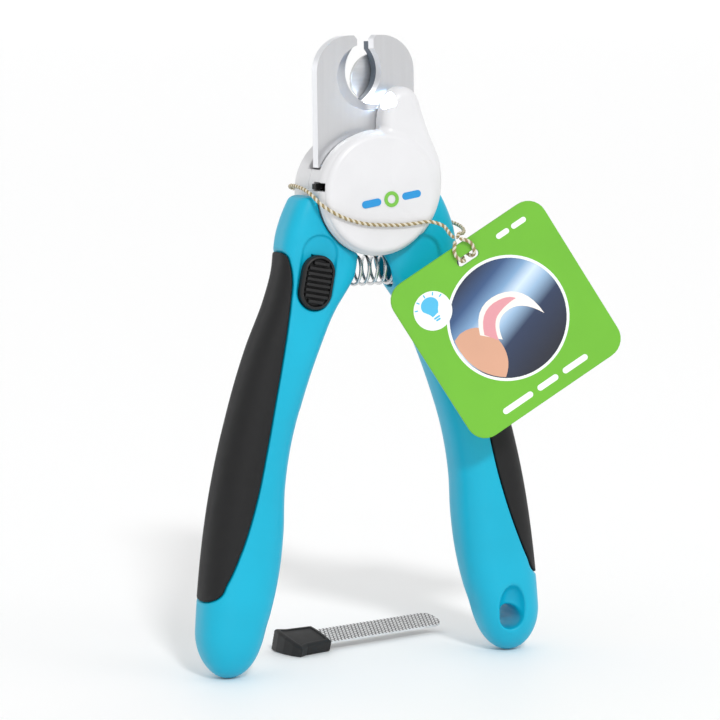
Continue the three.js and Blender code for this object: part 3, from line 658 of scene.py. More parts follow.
def lock_hollows(p):
    q = lock_coordinates(p)
    stem = box_field(q, (-2.1, -8, -2.1), (2.1, -2, 2.1 + LOCK_TRAVEL))
    arm = box_field(q, (-2.3, -3.2, -2.1), (6.5, -1, 5.5 + LOCK_TRAVEL))
    finger = box_field(q, (4.1, -3.2, 0.7), (6.5, -1, 24))
    return np.minimum(np.minimum(stem, arm), finger)


def lock_recess(p):
    q = lock_coordinates(p)
    around = stadium_field(q[:, 0], q[:, 2] - LOCK_TRAVEL / 2, BUTTON_L + LOCK_TRAVEL + 0.6,
                           BUTTON_W + 0.6)
    return round_max(around, q[:, 1] - RECESS_FLOOR_Y, 0.6)


def file_pocket(p):
    lean = math.radians(7.5)
    x, z = p[:, 0] + 28.0, p[:, 2] + 84
    u = x * math.cos(lean) - z * math.sin(lean)
    v = x * math.sin(lean) + z * math.cos(lean)
    return box_field(np.stack([u, p[:, 1], v], 1), (-2.6, -4.9, -27), (14, 4.9, 27))


def left_handle(p):
    body = less(handle_body(p, -1), lock_recess(p), 0.7)
    return less(less(body, lock_hollows(p)), file_pocket(p), 0.5)


def hang_hole(p):
    x, z = p[:, 0] - HANG_HOLE_AT[0], p[:, 2] - HANG_HOLE_AT[1]
    through = np.hypot(x, z) - HANG_HOLE_R
    scaled = np.stack([x / 4.1, (np.abs(p[:, 1]) - 10) / 5.5, (z - 2.6) / 6.8], 1)
    scoop = (np.linalg.norm(scaled, axis=1) - 1) * 4.1
    return round_min(through, scoop, 0.6)


def right_handle(p):
    return less(handle_body(p, 1), hang_hole(p), 0.7)


def grip(p, side):
    skin = handle_skin(p, side)
    outside = round_max(skin - 0.05, grip_region(p, side) + SEAM, 0.55)
    return np.maximum(outside, -(skin + GRIP_DEPTH - 0.1))


def make_handles():
    mould("handle_left", left_handle, (-50.6, -9.2, -128.8), (-3, 9.2, 3),
          "blue_plastic", "frame", "left_handle")
    mould("handle_right", right_handle, (3, -9.2, -128.8), (50.6, 9.2, 3),
          "blue_plastic", "right_arm", "right_handle")
    for name, side, body in (("left", -1, "frame"), ("right", 1, "right_arm")):
        x = sorted((side * 24, side * 50))
        mould("grip_" + name, lambda p, s=side: grip(p, s), (x[0], -9.3, -109),
              (x[1], 9.3, -10), "grip_rubber", body, name + "_grip")


# ---------- covers ----------

def curve(start, *bends, count=8):
    """Points of curves on from start, without it: each to an end, drawn towards a bend."""
    points = []
    t = np.arange(1, count + 1)[:, None] / count
    for bend, end in zip(bends[::2], bends[1::2]):
        a, b, c = (np.array(point) for point in (start, bend, end))
        points += [tuple(p) for p in (1 - t) ** 2 * a + 2 * t * (1 - t) * b + t * t * c]
        start = end
    return points


FINGER = ([(1.7, 6), (1.7, 18.6)] + curve((1.7, 18.6), (1.9, 21.6), (2.9, 24), count=4)
          + [(4.1, 26.0)]
          + curve((4.1, 26.0), (5.6, 28.0), (8.2, 28.0), (11.4, 27.8), (12.7, 23.9), (14.3, 17.2),
                  (17.9, 9), (18.8, 5), (18.5, 1), (18.0, -6), (12.6, -11)) + [(4, -4)])
LAMP_ANGLE = math.radians(147)
LAMP_WINDOW = (3.2, -7.2, 24.6)
LENS_R = 2.2


def cover_disc(p, side):
    r = np.hypot(p[:, 0], p[:, 2])
    face = side * p[:, 1] - COVER_Y
    return np.maximum(round_max(r - COVER_R, face, COVER_EDGE), COVER_INNER_Y - side * p[:, 1])


def cover_brim(p):
    """The front cover's wider, softly rounded front, which overhangs the handles' seats."""
    r = np.hypot(p[:, 0], p[:, 2])
    soft = round_max(r - BRIM_R, -p[:, 1] - COVER_Y, BRIM_EDGE)
    return np.maximum(soft, p[:, 1] + BRIM_BACK_Y)


def left_rim(p, y0, y1):
    """The stretch of rim that reaches from one cover towards the other on the left."""
    r, angle = np.hypot(p[:, 0], p[:, 2]), np.degrees(np.arctan2(p[:, 2], p[:, 0])) % 360
    span = np.maximum(RIM_ANGLES[0] - angle, angle - RIM_ANGLES[1]) * math.radians(1) * r
    ring = np.maximum(r - COVER_R, RIM_INNER_R - r)
    return round_max(round_max(ring, span, 0.3), slab(p, y0, y1), 0.3)


def cover_posts(p, y0, y1, r=2.2):
    return np.minimum(*(bar_field(p, r, y0, y1, at) for at in COVER_SCREWS))


def lamp_tunnel(p, r):
    """A round tunnel out of the finger's flank, along the lamp's axis."""
    axis = np.array([math.cos(LAMP_ANGLE), 0, math.sin(LAMP_ANGLE)])
    q = p - LAMP_WINDOW
    along = q @ axis
    across = np.linalg.norm(q - along[:, None] * axis, axis=1)
    return np.maximum(across - r, np.abs(along - 1) - 5)


def front_face(p):
    """Negative behind the front cover's face, which leans back up the finger."""
    return -p[:, 1] - COVER_Y + 0.07 * np.maximum(p[:, 2] - 6, 0)


def front_outside(p):
    """The front cover's outside: disc, brim and finger in one smooth shape."""
    x, y, z = p.T
    finger = round_max(polygon_field(x, z, FINGER), front_face(p) + 0.5, 2.8)
    finger = np.maximum(finger, np.minimum(0.6 - z, y + BRIM_BACK_Y))
    body = round_min(np.minimum(cover_disc(p, -1), cover_brim(p)), finger, 1.3)
    seat = np.maximum(np.maximum(COVER_R - np.hypot(x, z), z - 0.6), -y - BRIM_BACK_Y)
    return np.maximum(np.maximum(body, -seat), y + COVER_INNER_Y)


def front_cover(p):
    x, y, z = p.T
    rim = left_rim(p, -COVER_INNER_Y - 1, RIM_SEAM_Y - 0.15)
    hollow = np.minimum(np.hypot(x, z) - RIM_INNER_R, polygon_field(x, z, FINGER) + COVER_WALL)
    hollow = np.maximum(hollow, front_face(p) + COVER_WALL)
    slot = box_field(p, (-20, -10, 0.9), (-12, -2.2, 3.1))
    shell = np.minimum(less(front_outside(p), hollow), rim)
    shell = less(less(shell, slot, 0.2), lamp_tunnel(p, LENS_R + 0.2), 0.25)
    solid = np.minimum(shell, cover_posts(p, -COVER_Y + 1, 1.2))
    return less(solid, cover_posts(p, -9, 5, SCREW_HOLE_R))


def lamp_lens(p):
    """A clear plug in the finger's flank, flush with it all round and a little domed."""
    return np.maximum(round_max(lamp_tunnel(p, LENS_R), front_outside(p) + 0.06, 0.4),
                      -front_outside(p) - 1.5)


def door_outline(p):
    """The pear-shaped battery door: a round about the cell, and a tab about its screw."""
    cell = np.hypot(p[:, 0], p[:, 2] - CELL_AT[1]) - 7.1
    tab = np.hypot(p[:, 0], p[:, 2] - DOOR_SCREW_AT[1]) - 2.9
    return round_min(cell, tab, 4.0)


def rear_cover(p):
    rim = left_rim(p, RIM_SEAM_Y + 0.15, COVER_INNER_Y + 1)
    hollow = np.maximum(np.hypot(p[:, 0], p[:, 2]) - RIM_INNER_R, p[:, 1] - COVER_Y + COVER_WALL)
    shell = np.minimum(less(cover_disc(p, 1), hollow), rim)
    posts = np.minimum(cover_posts(p, 1.6, COVER_Y - 1),
                       bar_field(p, 2.2, 7.3, COVER_Y - 1, DOOR_SCREW_AT))
    ring = bar_field(p, 7.6, 7.3, COVER_Y - 1, CELL_AT)
    body = less(np.minimum(np.minimum(shell, posts), ring), bar_field(p, 6.5, 5, 20, CELL_AT))
    opening = np.maximum(door_outline(p) - 0.16, COVER_Y - COVER_WALL - 0.3 - p[:, 1])
    heads = cover_posts(p, COVER_Y - 1.6, 20, 2.5)
    body = less(less(body, opening, 0.35), heads, 0.3)
    body = less(body, cover_posts(p, 0, 20, SCREW_HOLE_R))
    return less(body, bar_field(p, 0.9, 8, 20, DOOR_SCREW_AT))


def battery_door(p):
    body = round_max(door_outline(p) + 0.16, p[:, 1] - COVER_Y + 0.05, 0.35)
    body = np.maximum(body, COVER_Y - COVER_WALL - p[:, 1])
    screw = np.minimum(bar_field(p, SCREW_HOLE_R, 0, 20, DOOR_SCREW_AT),
                       bar_field(p, 2.2, 10.6, 20, DOOR_SCREW_AT))
    notch = box_field(p, (-2.6, COVER_Y - 0.8, -12.2), (2.6, COVER_Y + 1, -11.2))
    arrows = np.maximum(np.abs(np.abs(p[:, 2] + 7.0) - 1.1) - 0.28, np.abs(p[:, 0]) - 2.6)
    grooves = np.maximum(arrows, COVER_Y - 0.35 - p[:, 1])
    return less(less(less(body, screw, 0.2), notch, 0.25), grooves, 0.12)


def make_cover_marks():
    """A plain printed mark on the front cover: a green ring between two blue bars."""
    lean = math.radians(9)
    at = lambda x: (2.6 + x * math.cos(lean), -1.6 + x * math.sin(lean))
    marks = [("left", [stadium_outline(5.6, 2.0, at(-5.9), lean)], "print_blue"),
             ("ring", [disc_outline(2.1, at(0)), disc_outline(1.15, at(0))], "print_green"),
             ("right", [stadium_outline(5.6, 2.0, at(5.9), lean)], "print_blue")]
    printed("print_blue", srgb(0, 140, 206))
    printed("print_green", srgb(112, 184, 60))
    for name, outlines, colour in marks:
        mesh = sheet_mesh("cover_mark_" + name, outlines, -COVER_Y - MARK_OUT, -COVER_Y + MARK_IN,
                          place=None)
        make_object("cover_mark_" + name, mesh, [colour], "frame")


def make_covers():
    cell = 0.32
    mould("cover_front", front_cover, (-16.9, -11.9, -16.9), (19.0, 1.3, 28.3),
          "white_plastic", "frame", "front_cover", cell)
    mould("lens_lamp", lamp_lens, (-1, -10.5, 21), (6, -4, 29),
          "clear_lens", "frame", "led_lens", 0.2)
    mould("cover_rear", rear_cover, (-16.1, 1.4, -16.1), (16.1, 11.7, 16.1),
          "white_plastic", "frame", "rear_cover", cell)
    mould("door_battery", battery_door, (-7.2, 9.8, -14.2), (7.2, 11.7, 5.6),
          "white_plastic", "frame", "battery_door", cell)


# ---------- lock button ----------

def lock_button(p):
    q = lock_coordinates(p)
    u, y, v = q.T
    top = RECESS_FLOOR_Y - GAP
    pad = round_max(stadium_field(u, v, BUTTON_L, BUTTON_W), top - 2.35 - y, 0.9)
    pad = np.maximum(pad, y - top)
    hollow = round_max(stadium_field(u, v, BUTTON_L - 1.9, BUTTON_W - 1.9), y - top + 1.4, 0.3)
    body = less(pad, hollow, 0.3)
    for i in range(8):
        middle = (i - 3.5) * 1.45
        half = 3.45 - max(0, abs(middle) - 3.4) * 0.75
        crown = 0.25 * (u / 3.5) ** 2
        rib = round_max(np.maximum(np.abs(u) - half, np.abs(v - middle) - 0.45),
                        top - 2.9 + crown - y, 0.28)
        body = np.minimum(body, np.maximum(rib, y - top + 1))
    stem = box_field(q, (-1.7, top - 0.2, -1.7), (1.7, -3.2, 1.7))
    return np.minimum(body, stem)


def make_lock():
    cell = 0.16
    mould("button_lock", lock_button, (-23, -9.5, -30.8), (-12, -3.1, -15.6),
          "black_plastic", "lock_slider", "lock_button", cell)


# ---------- tubes: spring and twine ----------

def frames_along(points):
    """Two directions across a line at each point, turned as little as possible on the way."""
    ahead = np.gradient(points, axis=0)
    ahead /= np.linalg.norm(ahead, axis=1)[:, None]
    side = np.cross(ahead[0], (0, 0, 1) if abs(ahead[0][2]) < 0.9 else (1, 0, 0))
    sides = []
    for direction in ahead:
        side = side - direction * side.dot(direction)
        side = side / np.linalg.norm(side)
        sides.append(side)
    sides = np.array(sides)
    return sides, np.cross(ahead, sides)


def tube(points, radius, sides=10):
    """Points and faces of a capped tube along a line; radius is a number or one per point."""
    points = np.asarray(points, float)
    a, b = frames_along(points)
    turn = 2 * math.pi * np.arange(sides) / sides
    radius = np.broadcast_to(radius, len(points))[:, None, None]
    ring = (a[:, None] * np.cos(turn)[None, :, None] + b[:, None] * np.sin(turn)[None, :, None])
    verts = (points[:, None] + ring * radius).reshape(-1, 3)
    faces = []
    for i in range(len(points) - 1):
        for j in range(sides):
            k = (j + 1) % sides
            faces.append((i * sides + j, i * sides + k, (i + 1) * sides + k, (i + 1) * sides + j))
    last = (len(points) - 1) * sides
    faces.append(tuple(range(sides - 1, -1, -1)))
    faces.append(tuple(range(last, last + sides)))
    return verts, faces


def smooth_line(points, spacing):
    """A dense smooth line through given points."""
    points = np.array(points, float)
    padded = np.vstack([2 * points[0] - points[1], points, 2 * points[-1] - points[-2]])
    gaps = np.linalg.norm(np.diff(padded, axis=0), axis=1)
    knots = np.concatenate([[0], np.cumsum(np.sqrt(gaps))])
    line = []
    for i in range(1, len(padded) - 2):
        t0, t1, t2, t3 = knots[i - 1:i + 3]
        p0, p1, p2, p3 = padded[i - 1:i + 3]
        count = max(2, int(np.linalg.norm(p2 - p1) / spacing))
        for t in np.linspace(t1, t2, count, endpoint=False):
            a1 = (t1 - t) / (t1 - t0) * p0 + (t - t0) / (t1 - t0) * p1
            a2 = (t2 - t) / (t2 - t1) * p1 + (t - t1) / (t2 - t1) * p2
            a3 = (t3 - t) / (t3 - t2) * p2 + (t - t2) / (t3 - t2) * p3
            b1 = (t2 - t) / (t2 - t0) * a1 + (t - t0) / (t2 - t0) * a2
            b2 = (t3 - t) / (t3 - t1) * a2 + (t - t1) / (t3 - t1) * a3
            line.append((t2 - t) / (t2 - t1) * b1 + (t - t1) / (t2 - t1) * b2)
    line.append(points[-1])
    return np.array(line)


def make_spring():
    """A compression coil; its turns lie close at both ends."""
    t = np.linspace(0, 1, SPRING_TURNS * 40 + 1)
    closed = 0.09                               # share of each end where the turns lie close
    pitch = np.interp(t, [0, closed, 2 * closed, 1 - 2 * closed, 1 - closed, 1],
                      [0.45, 0.45, 1.18, 1.18, 0.45, 0.45])
    travel = np.concatenate([[0], np.cumsum((pitch[1:] + pitch[:-1]) / 2)])
    x = (2 * travel / travel[-1] - 1) * (SPRING_HALF_L - SPRING_WIRE_R)
    angle = 2 * math.pi * SPRING_TURNS * t
    line = np.stack([x, SPRING_R * np.sin(angle), SPRING_Z + SPRING_R * np.cos(angle)], 1)
    verts, faces = tube(line, SPRING_WIRE_R, 10)
    mesh = mesh_from("spring_return", to_row(verts), faces)
    piece = show("spring_return", mesh)
    mesh.materials.append(MATERIALS["spring_steel"])
    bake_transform(piece)
    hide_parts("return_spring")


TAG_THROAT = (18.4, -18.4, -12.75)
TWINE_ROUTE = [(17.9, -17.7, -12.1), (17.5, -16.0, -11.1), (16.9, -13.6, -9.2),
               (13.5, -12.55, -8.0), (9, -12.45, -8.3), (4.5, -12.45, -8.5),
               (-0.5, -12.45, -8.3), (-5.5, -12.45, -7.8), (-10.5, -12.45, -6.4),
               (-14.4, -12.3, -4.6), (-17.2, -10.4, -2.4), (-18.6, -7.4, 0.0),
               (-19.0, -2.5, 1.4), (-18.9, 3, 1.9), (-18.0, 8.4, 1.7), (-16.4, 11.7, 1.0),
               (-13.6, 12.6, 0.1), (-9.5, 12.6, -1.2), (-4, 12.5, -2.4), (3, 12.5, -3.8),
               (10, 12.5, -5.2), (17, 12.2, -6.8), (22.2, 10.4, -8.0), (25.4, 6.4, -8.8),
               (26.8, 1.6, -9.5), (26.8, -3.6, -10.3), (25.2, -8.8, -11.1),
               (22.6, -13.2, -11.4), (20.0, -16.4, -11.3), (18.9, -17.8, -12.1)]


def twisted_twine(name, line, body, replaces):
    """Two plies laid round each other along a line, one cream and one tan."""
    ply_r, lay = 0.3 * TWINE_D, 1.7
    a, b = frames_along(line)
    run = np.concatenate([[0], np.cumsum(np.linalg.norm(np.diff(line, axis=0), axis=1))])
    verts, faces, tan_from = [], [], 0
    for ply in range(2):
        angle = (2 * math.pi * run / lay + math.pi * ply)[:, None]
        offset = (TWINE_D / 2 - ply_r) * (a * np.cos(angle) + b * np.sin(angle))
        ply_verts, ply_faces = tube(line + offset, ply_r, 8)
        faces += [tuple(i + len(verts) for i in face) for face in ply_faces]
        verts += list(ply_verts)
        tan_from = tan_from or len(faces)
    mesh = mesh_from(name, to_row(verts), faces)
    piece = make_object(name, mesh, ["twine_cream", "twine_tan"], body, replaces)
    for polygon in mesh.polygons[tan_from:]:
        polygon.material_index = 1
    return piece, to_row(line[::4]), float(run[-1]) * MM


def make_twine(carried):
    line = smooth_line(TWINE_ROUTE, 0.35)
    piece, path, length = twisted_twine("twine_loop", line, "frame", ["tag_twine"])


def tag_frame():
    """From the tag's own millimetres, about the throat, to the pivot's."""
    turn = Matrix.Rotation(TAG_YAW, 3, "Z") @ Matrix.Rotation(-TAG_ROLL, 3, "Y")
    return np.array(turn), np.array(TAG_THROAT)


def from_tag(points):
    turn, throat = tag_frame()
    return np.asarray(points, float) @ turn.T + throat


def make_hitch():
    """The loop of twine that goes through the slot and round the web of card above it."""
    y = TAG_T / 2 + TWINE_D / 2 + GAP
    route = [(-0.8, -y, 0.2), (-2.6, -y - 0.2, -2.4), (-2.2, -y, -5.0), (-1.4, -0.4, -5.75),
             (-0.9, y, -5.2), (0, y + 0.3, -2.2), (0.9, y, -5.2), (1.4, -0.4, -5.75),
             (2.2, -y, -5.0), (2.6, -y - 0.2, -2.4), (0.8, -y, 0.2)]
    line = from_tag(smooth_line(route, 0.25))
    return twisted_twine("twine_hitch", line, "hang_tag", ["tag_hitch"])[0]


# ---------- hang tag ----------

def rounded_square(half, r, steps=8):
    corners = []
    for i, (sx, sz) in enumerate([(1, 1), (-1, 1), (-1, -1), (1, -1)]):
        for angle in np.linspace(i * math.pi / 2, (i + 1) * math.pi / 2, steps):
            corners.append((sx * (half - r) + r * math.cos(angle),
                            sz * (half - r) + r * math.sin(angle)))
    return corners


def disc_outline(r, at=(0, 0), steps=48):
    turn = 2 * math.pi * np.arange(steps) / steps
    return [(at[0] + r * math.cos(t), at[1] + r * math.sin(t)) for t in turn]


def stadium_outline(length, width, at=(0, 0), lean=0.0, steps=10):
    """A flat-lying stadium, turned by lean."""
    half = (length - width) / 2
    points = []
    for centre, start in ((half, -math.pi / 2), (-half, math.pi / 2)):
        for angle in np.linspace(start, start + math.pi, steps):
            x, z = centre + width / 2 * math.cos(angle), width / 2 * math.sin(angle)
            points.append((at[0] + x * math.cos(lean) - z * math.sin(lean),
                           at[1] + x * math.sin(lean) + z * math.cos(lean)))
    return points


def sheet_mesh(name, outlines, y0, y1, bevel=0.0, place=from_tag):
    """A flat plate from an outline and the holes in it, between two Y planes."""
    bm = bmesh.new()
    edges = []
    for outline in outlines:
        ring = [bm.verts.new((x, y0, z)) for x, z in outline]
        edges += [bm.edges.new((a, b)) for a, b in zip(ring, ring[1:] + ring[:1])]
    bmesh.ops.triangle_fill(bm, use_beauty=True, edges=edges)
    bmesh.ops.dissolve_limit(bm, angle_limit=0.01, verts=bm.verts, edges=bm.edges)
    made = bmesh.ops.extrude_face_region(bm, geom=bm.faces[:])
    moved = [v for v in made["geom"] if isinstance(v, bmesh.types.BMVert)]
    bmesh.ops.translate(bm, vec=(0, y1 - y0, 0), verts=moved)
    bmesh.ops.recalc_face_normals(bm, faces=bm.faces)
    if bevel:
        sharp = [e for e in bm.edges if len(e.link_faces) == 2 and e.calc_face_angle() > 0.9]
        bmesh.ops.bevel(bm, geom=sharp, offset=bevel, segments=2, affect="EDGES")
    mesh = bpy.data.meshes.new(name)
    bm.to_mesh(mesh)
    bm.free()
    points = np.array([v.co for v in mesh.vertices])
    mesh.vertices.foreach_set("co", to_row(place(points) if place else points).ravel())
    mesh.update()
    return mesh


def on_card(points):
    """Outline points about the card's middle, as points about the throat."""
    return [(x, z - TAG_CENTRE_DROP) for x, z in points]


PRINT_Y = -TAG_T / 2
PICTURE_R = 16.2
PICTURE_AT = (0.6, 0.2)
BADGE_AT = (-15.6, 13.4)


def print_layer(name, outlines, material, level):
    """A printed shape on the card's front: a thin skin, one level above another."""
    y = PRINT_Y - 0.012 * level
    mesh = sheet_mesh(name, [on_card(outline) for outline in outlines], y, y + 0.010)
    return make_object(name, mesh, [material], "hang_tag")


def printed(name, colour, roughness=0.4):
    MATERIALS[name] = plastic(name, colour, roughness, 0.003, 1500.0, coat=0.3)


def beam_material():
    """Night blue with a soft pale beam across it; it follows the card's own directions."""
    finish = Finish("print_night", 0.4, Coat_Weight=0.3, Coat_Roughness=0.15)
    middle = to_row(from_tag([(PICTURE_AT[0], 0, PICTURE_AT[1] - TAG_CENTRE_DROP)]))[0]
    across = tag_frame()[0] @ np.array((-0.30, 0, 0.95))
    steps = []
    for operation, source, vector in (("SUBTRACT", finish.place, middle),
                                      ("DOT_PRODUCT", None, across)):
        steps.append(finish.node("VectorMath"))
        steps[-1].operation = operation
        steps[-1].inputs[1].default_value = vector
        finish.tree.links.new(source or steps[0].outputs["Vector"], steps[-1].inputs[0])
    share = finish.node("MapRange", From_Min=-PICTURE_R * MM, From_Max=PICTURE_R * MM,
                        Value=steps[-1].outputs["Value"])
    stops = [(0.05, srgb(12, 20, 40)), (0.36, srgb(26, 46, 80)), (0.50, srgb(150, 182, 212)),
             (0.60, srgb(206, 224, 240)), (0.70, srgb(120, 158, 196)), (0.84, srgb(44, 78, 124)),
             (1.0, srgb(22, 34, 62))]
    finish.link(finish.ramp(share.outputs["Result"], stops), "Base Color")
    MATERIALS["print_night"] = finish.rough(0.36, 0.46).bump(0.003, 1500.0, 0.4).material


def make_picture():
    """A fingertip with a pale claw that the beam lights, in a round frame."""
    at = lambda outline: [(x + PICTURE_AT[0], z + PICTURE_AT[1]) for x, z in outline]
    rings = [disc_outline(r, PICTURE_AT, 72) for r in (PICTURE_R + 0.75, PICTURE_R - 0.05)]
    print_layer("tag_picture_ring", rings, "print_white", 1)
    print_layer("tag_picture_night", [disc_outline(PICTURE_R, PICTURE_AT, 72)], "print_night", 1)
    tip = curve((-15.4, 3.6), (-7.0, 5.2), (-5.4, -3.0), (-4.4, -9.5), (-9.0, -13.0))
    edge = [(15.9 * math.cos(t), 15.9 * math.sin(t)) for t in np.linspace(4.1, 2.95, 12)]
    print_layer("tag_picture_tip", [at(tip + edge)], "print_skin", 2)
    claw = curve((-9.6, -2.0), (-7.5, 8.6), (1.0, 7.0), (8.6, 5.4), (9.0, -4.4),
                 (5.4, 2.6), (0.2, 1.8), (-3.6, 1.4), (-4.4, -4.0))
    print_layer("tag_picture_claw", [at(claw)], "print_claw", 3)
    quick = curve((-8.5, -2.2), (-6.6, 6.6), (0.2, 5.6))
    quick += curve((0.2, 5.6), (3.4, 5.2), (4.6, 3.4), (0.8, 3.6), (-2.2, 2.2), count=5)
    quick += curve((-2.2, 2.2), (-4.6, 0.8), (-5.4, -3.6))
    print_layer("tag_picture_quick", [at(quick)], "print_quick", 4)


def make_badge():
    print_layer("tag_badge", [disc_outline(5.3, BADGE_AT)], "print_white", 5)
    at = lambda outline: [(x + BADGE_AT[0], z + BADGE_AT[1] + 0.9) for x, z in outline]
    turn = np.linspace(-0.2, math.pi + 0.2, 20)
    glass = (curve((1.0, -2.4), (1.1, -1.4), (2.1, -0.4), count=5)
             + [(2.5 * math.cos(t), 0.7 + 2.3 * math.sin(t)) for t in turn]
             + curve((-2.1, -0.4), (-1.1, -1.4), (-1.0, -2.4), count=5))
    print_layer("tag_badge_bulb", [at(glass)], "print_bulb", 6)
    for i in range(2):
        foot = stadium_outline(1.9 - 0.5 * i, 0.5, (BADGE_AT[0], BADGE_AT[1] - 2.1 - 0.7 * i))
        print_layer(f"tag_badge_foot_{i + 1}", [foot], "print_bulb", 6)
    for i in range(5):
        lean = math.radians(20 + 35 * i)
        ray = (BADGE_AT[0] + 4.1 * math.cos(lean), BADGE_AT[1] + 1.3 + 3.2 * math.sin(lean))
        outline = stadium_outline(1.0, 0.35, ray, lean)
        print_layer(f"tag_badge_ray_{i + 1}", [outline], "print_bulb", 6)


def make_tag_print():
    printed("print_white", srgb(238, 243, 240))
    printed("print_bulb", srgb(74, 184, 226))
    printed("print_claw", srgb(244, 236, 228))
    printed("print_quick", srgb(222, 152, 160))
    printed("print_skin", srgb(212, 160, 132))
    beam_material()
    make_picture()
    make_badge()
    for i, (x, length) in enumerate([(-9.4, 9.6), (0.4, 6.6), (9.4, 8.0)]):
        bar = stadium_outline(length, 1.7, (x, -20.6))
        print_layer(f"tag_bar_{i + 1}", [bar], "print_white", 1)
    for i, (x, length) in enumerate([(11.4, 4.0), (16.6, 4.6)]):
        bar = stadium_outline(length, 1.5, (x, 20.2))
        print_layer(f"tag_mark_{i + 1}", [bar], "print_white", 1)


def make_card():
    slot = [(x, z - TAG_SLOT_DROP) for x, z in stadium_outline(6.6, 2.2)]
    card = sheet_mesh("card_tag", [on_card(rounded_square(TAG_SIZE / 2, TAG_CORNER_R)), slot],
                      -TAG_T / 2, TAG_T / 2, 0.14)
    return make_object("card_tag", card, ["tag_green"], "hang_tag", ["tag_card"])


# ---------- nail file ----------

def file_frame():
    """From the file's own millimetres to the pivot's; its cap stands flat on the ground."""
    turn = Matrix.Rotation(FILE_YAW, 3, "Z") @ Matrix.Rotation(FILE_TILT, 3, "X")
    return np.array(turn), np.array((*FILE_AT, CAP_HALF_W * math.sin(FILE_TILT) - FOOT_DEPTH))


def from_file(points):
    turn, place = file_frame()
    return np.asarray(points, float) @ turn.T + place


def file_strip(p):
    x, y, z = p.T
    corner = np.hypot(np.maximum(x - FILE_L / 2 + FILE_END_R, 0),
                      np.maximum(np.abs(y) - FILE_W / 2 + FILE_END_R, 0))
    return np.maximum(corner - FILE_END_R, np.maximum(-x - FILE_L / 2, np.abs(y) - FILE_W / 2))


def make_file_strip():
    """A strip whose two faces carry a diamond cut, as a grid of small pyramids, with painted
    shade on the faces low in the grooves.
    """
    cell = 0.125
    xs = np.arange(-FILE_L / 2, FILE_L / 2 + cell / 2, cell)
    ys = np.linspace(-FILE_W / 2, FILE_W / 2, int(FILE_W / cell) + 1)
    x, y = (v.ravel() for v in np.meshgrid(xs, ys, indexing="ij"))
    over = np.maximum(file_strip(np.stack([x, y, x * 0], 1)), 0)
    corner = (FILE_L / 2 - FILE_END_R, FILE_W / 2 - FILE_END_R)
    far = np.hypot(np.maximum(x - corner[0], 1e-9), np.maximum(np.abs(y) - corner[1], 1e-9))
    pull = np.where(over > 0, FILE_END_R / np.maximum(far, 1e-6), 1)
    x = np.where(over > 0, corner[0] + (x - corner[0]) * pull, x)
    y = np.where(over > 0, np.sign(y) * (corner[1] + (np.abs(y) - corner[1]) * pull), y)
    a, b = (x + TOOTH_SLANT * y) / TOOTH_PITCH, (x - TOOTH_SLANT * y) / TOOTH_PITCH
    tooth = np.minimum(np.abs(a % 1 - 0.5), np.abs(b % 1 - 0.5)) * 2
    edge = np.clip((FILE_W / 2 - np.abs(y)) / 0.6, 0, 1) * np.clip((FILE_L / 2 - x) / 0.8, 0, 1)
    height = FILE_T / 2 - 0.18 + 0.2 * tooth * edge
    middle = 1.1 + FILE_T / 2
    top = np.stack([x + 4.5, y, middle + height], 1)
    bottom = np.stack([x + 4.5, y, middle - height], 1)
    nx, ny = len(xs), len(ys)
    faces, groove_shade_faces = [], []
    for i in range(nx - 1):
        for j in range(ny - 1):
            a0, b0 = i * ny + j, (i + 1) * ny + j
            # faces low in a groove get the painted shade material
            deep = tooth[[a0, b0, b0 + 1, a0 + 1]].mean() < GROOVE_SHADE_SHARE
            groove_shade_faces += [deep, deep]
            faces.append((a0, b0, b0 + 1, a0 + 1))
            faces.append(tuple(v + nx * ny for v in (a0, a0 + 1, b0 + 1, b0)))
    border = ([i * ny for i in range(nx)] + [(nx - 1) * ny + j for j in range(1, ny)]
              + [i * ny + ny - 1 for i in range(nx - 2, -1, -1)] + list(range(ny - 2, 0, -1)))
    for a0, b0 in zip(border, border[1:] + border[:1]):
        faces.append((a0, a0 + nx * ny, b0 + nx * ny, b0))
    points = to_row(from_file(np.vstack([top, bottom])))
    mesh = mesh_from("file_blade", points, faces, smooth=False)
    make_object("file_blade", mesh, ["file_steel", "file_groove_painted_shade"], "nail_file",
                ["file_strip"])
    for polygon, deep in zip(mesh.polygons, groove_shade_faces):
        polygon.material_index = int(deep)


def file_cap_field(p):
    """A flared cap with a smooth top and a rounded end."""
    turn, place = file_frame()
    q = (p - place) @ turn
    x, y, z = q.T
    tip, back = -FILE_L / 2 + 7.5, -FILE_L / 2 - 5
    outline = [(tip, -5), (tip, 5), (back + 4, 5.6), (back + 1.2, CAP_HALF_W), (back + 0.3, 3.6),
               (back, 0), (back + 0.3, -3.6), (back + 1.2, -CAP_HALF_W), (back + 4, -5.6)]
    around = polygon_field(x, y, outline)
    body = round_max(around, z - 3.3 + 0.012 * y ** 2, 0.8)
    body = round_max(body, -FOOT_DEPTH + 0.02 - p[:, 2], 0.5)
    pad = polygon_field(x, y, outline) + 1.3
    body = less(body, np.maximum(pad, 3.0 - 0.012 * y ** 2 - z), 0.2)
    mouth = box_field(q, (-FILE_L / 2 + 4, -FILE_W / 2 - GAP, 0.8),
                      (tip + 1, FILE_W / 2 + GAP, 2.4))
    return less(body, mouth, 0.15)


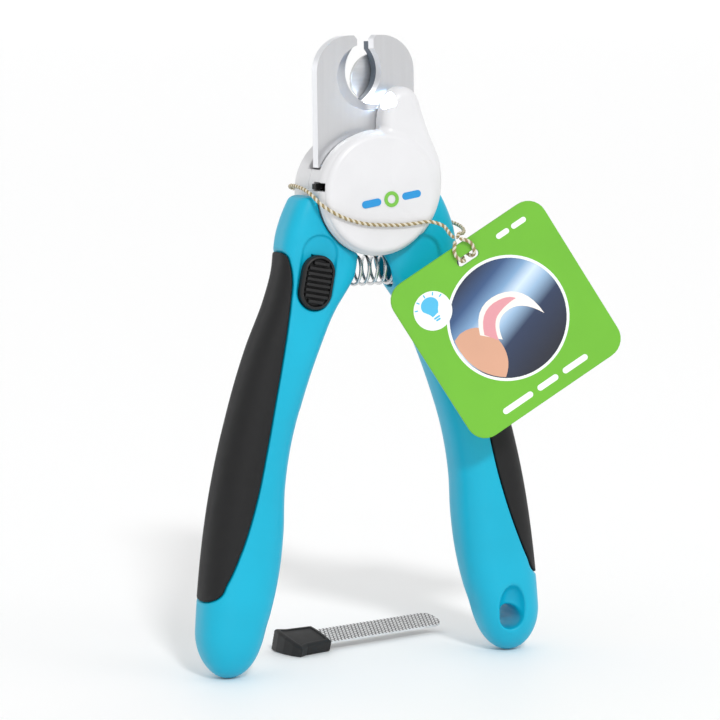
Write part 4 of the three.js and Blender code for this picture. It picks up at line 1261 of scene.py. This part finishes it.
def make_file():
    make_file_strip()
    cell = 0.2
    z = -FOOT_DEPTH
    mould("cap_file", file_cap_field, (-20, 12.6, z), (-2, 31, z + 7.5),
          "black_plastic", "nail_file", "file_cap", cell)


# ---------- pieces that keep their CAD shape ----------

CAD_FINISH = {
    "blade_steel": ["front_blade", "rear_blade"],
    "fastener_steel": ["pivot_bolt", "pivot_nut", "front_washer", "rear_washer", "guard_screw",
                       "cover_screw_left", "cover_screw_right", "battery_door_screw"],
    "stamped_steel": ["nail_guard", "lock_bar"],
    "spring_steel": ["lock_click_spring"],
    "slate_plastic": ["guard_spacer"],
    "black_plastic": ["switch_body", "switch_knob"],
    "clear_lens": ["led_lamp"],
    "circuit_board": ["led_board"],
    "cell_steel": ["battery_cell"],
    "contact_brass": ["contact_negative", "contact_positive"],
    "red_insulation": ["wire_positive"],
    "black_insulation": ["wire_negative"],
}
EDGE_BREAK = {"front_blade": 0.2, "rear_blade": 0.2, "nail_guard": 0.1, "guard_spacer": 0.15,
              "lock_bar": 0.12, "guard_screw": 0.06, "switch_knob": 0.15, "led_board": 0.05}


def break_edges(node, width):
    """Modifiers that give a CAD piece the small rounded edges of a real one."""
    flat = node.modifiers.new("flat", "DECIMATE")
    flat.decimate_type = "DISSOLVE"
    flat.angle_limit = math.radians(1.5)
    bevel = node.modifiers.new("edge", "BEVEL")
    bevel.width = width * MM
    bevel.segments = 2
    bevel.limit_method = "ANGLE"
    bevel.angle_limit = math.radians(24)
    bevel.use_clamp_overlap = False
    normals = node.modifiers.new("normals", "WEIGHTED_NORMAL")
    normals.keep_sharp = True


def finish_cad_pieces():
    for finish, names in CAD_FINISH.items():
        for name in names:
            node = frame["nodes"][name]
            node.data.materials.clear()
            node.data.materials.append(MATERIALS[finish])
            node.data.shade_smooth()
            if name in EDGE_BREAK:
                break_edges(node, EDGE_BREAK[name])
            if finish == "blade_steel":
                # the bevel faces take the painted dark reflection of the blade edges
                node.data.materials.append(MATERIALS["blade_edge_painted_dark"])
                node.modifiers["edge"].material = 1


# ---------- the scene ----------

make_camera()
make_twine([make_hitch(), make_card()])
make_lights()
make_floor()
make_handles()
make_covers()
make_cover_marks()
make_lock()
make_spring()
make_tag_print()
make_file()
finish_cad_pieces()
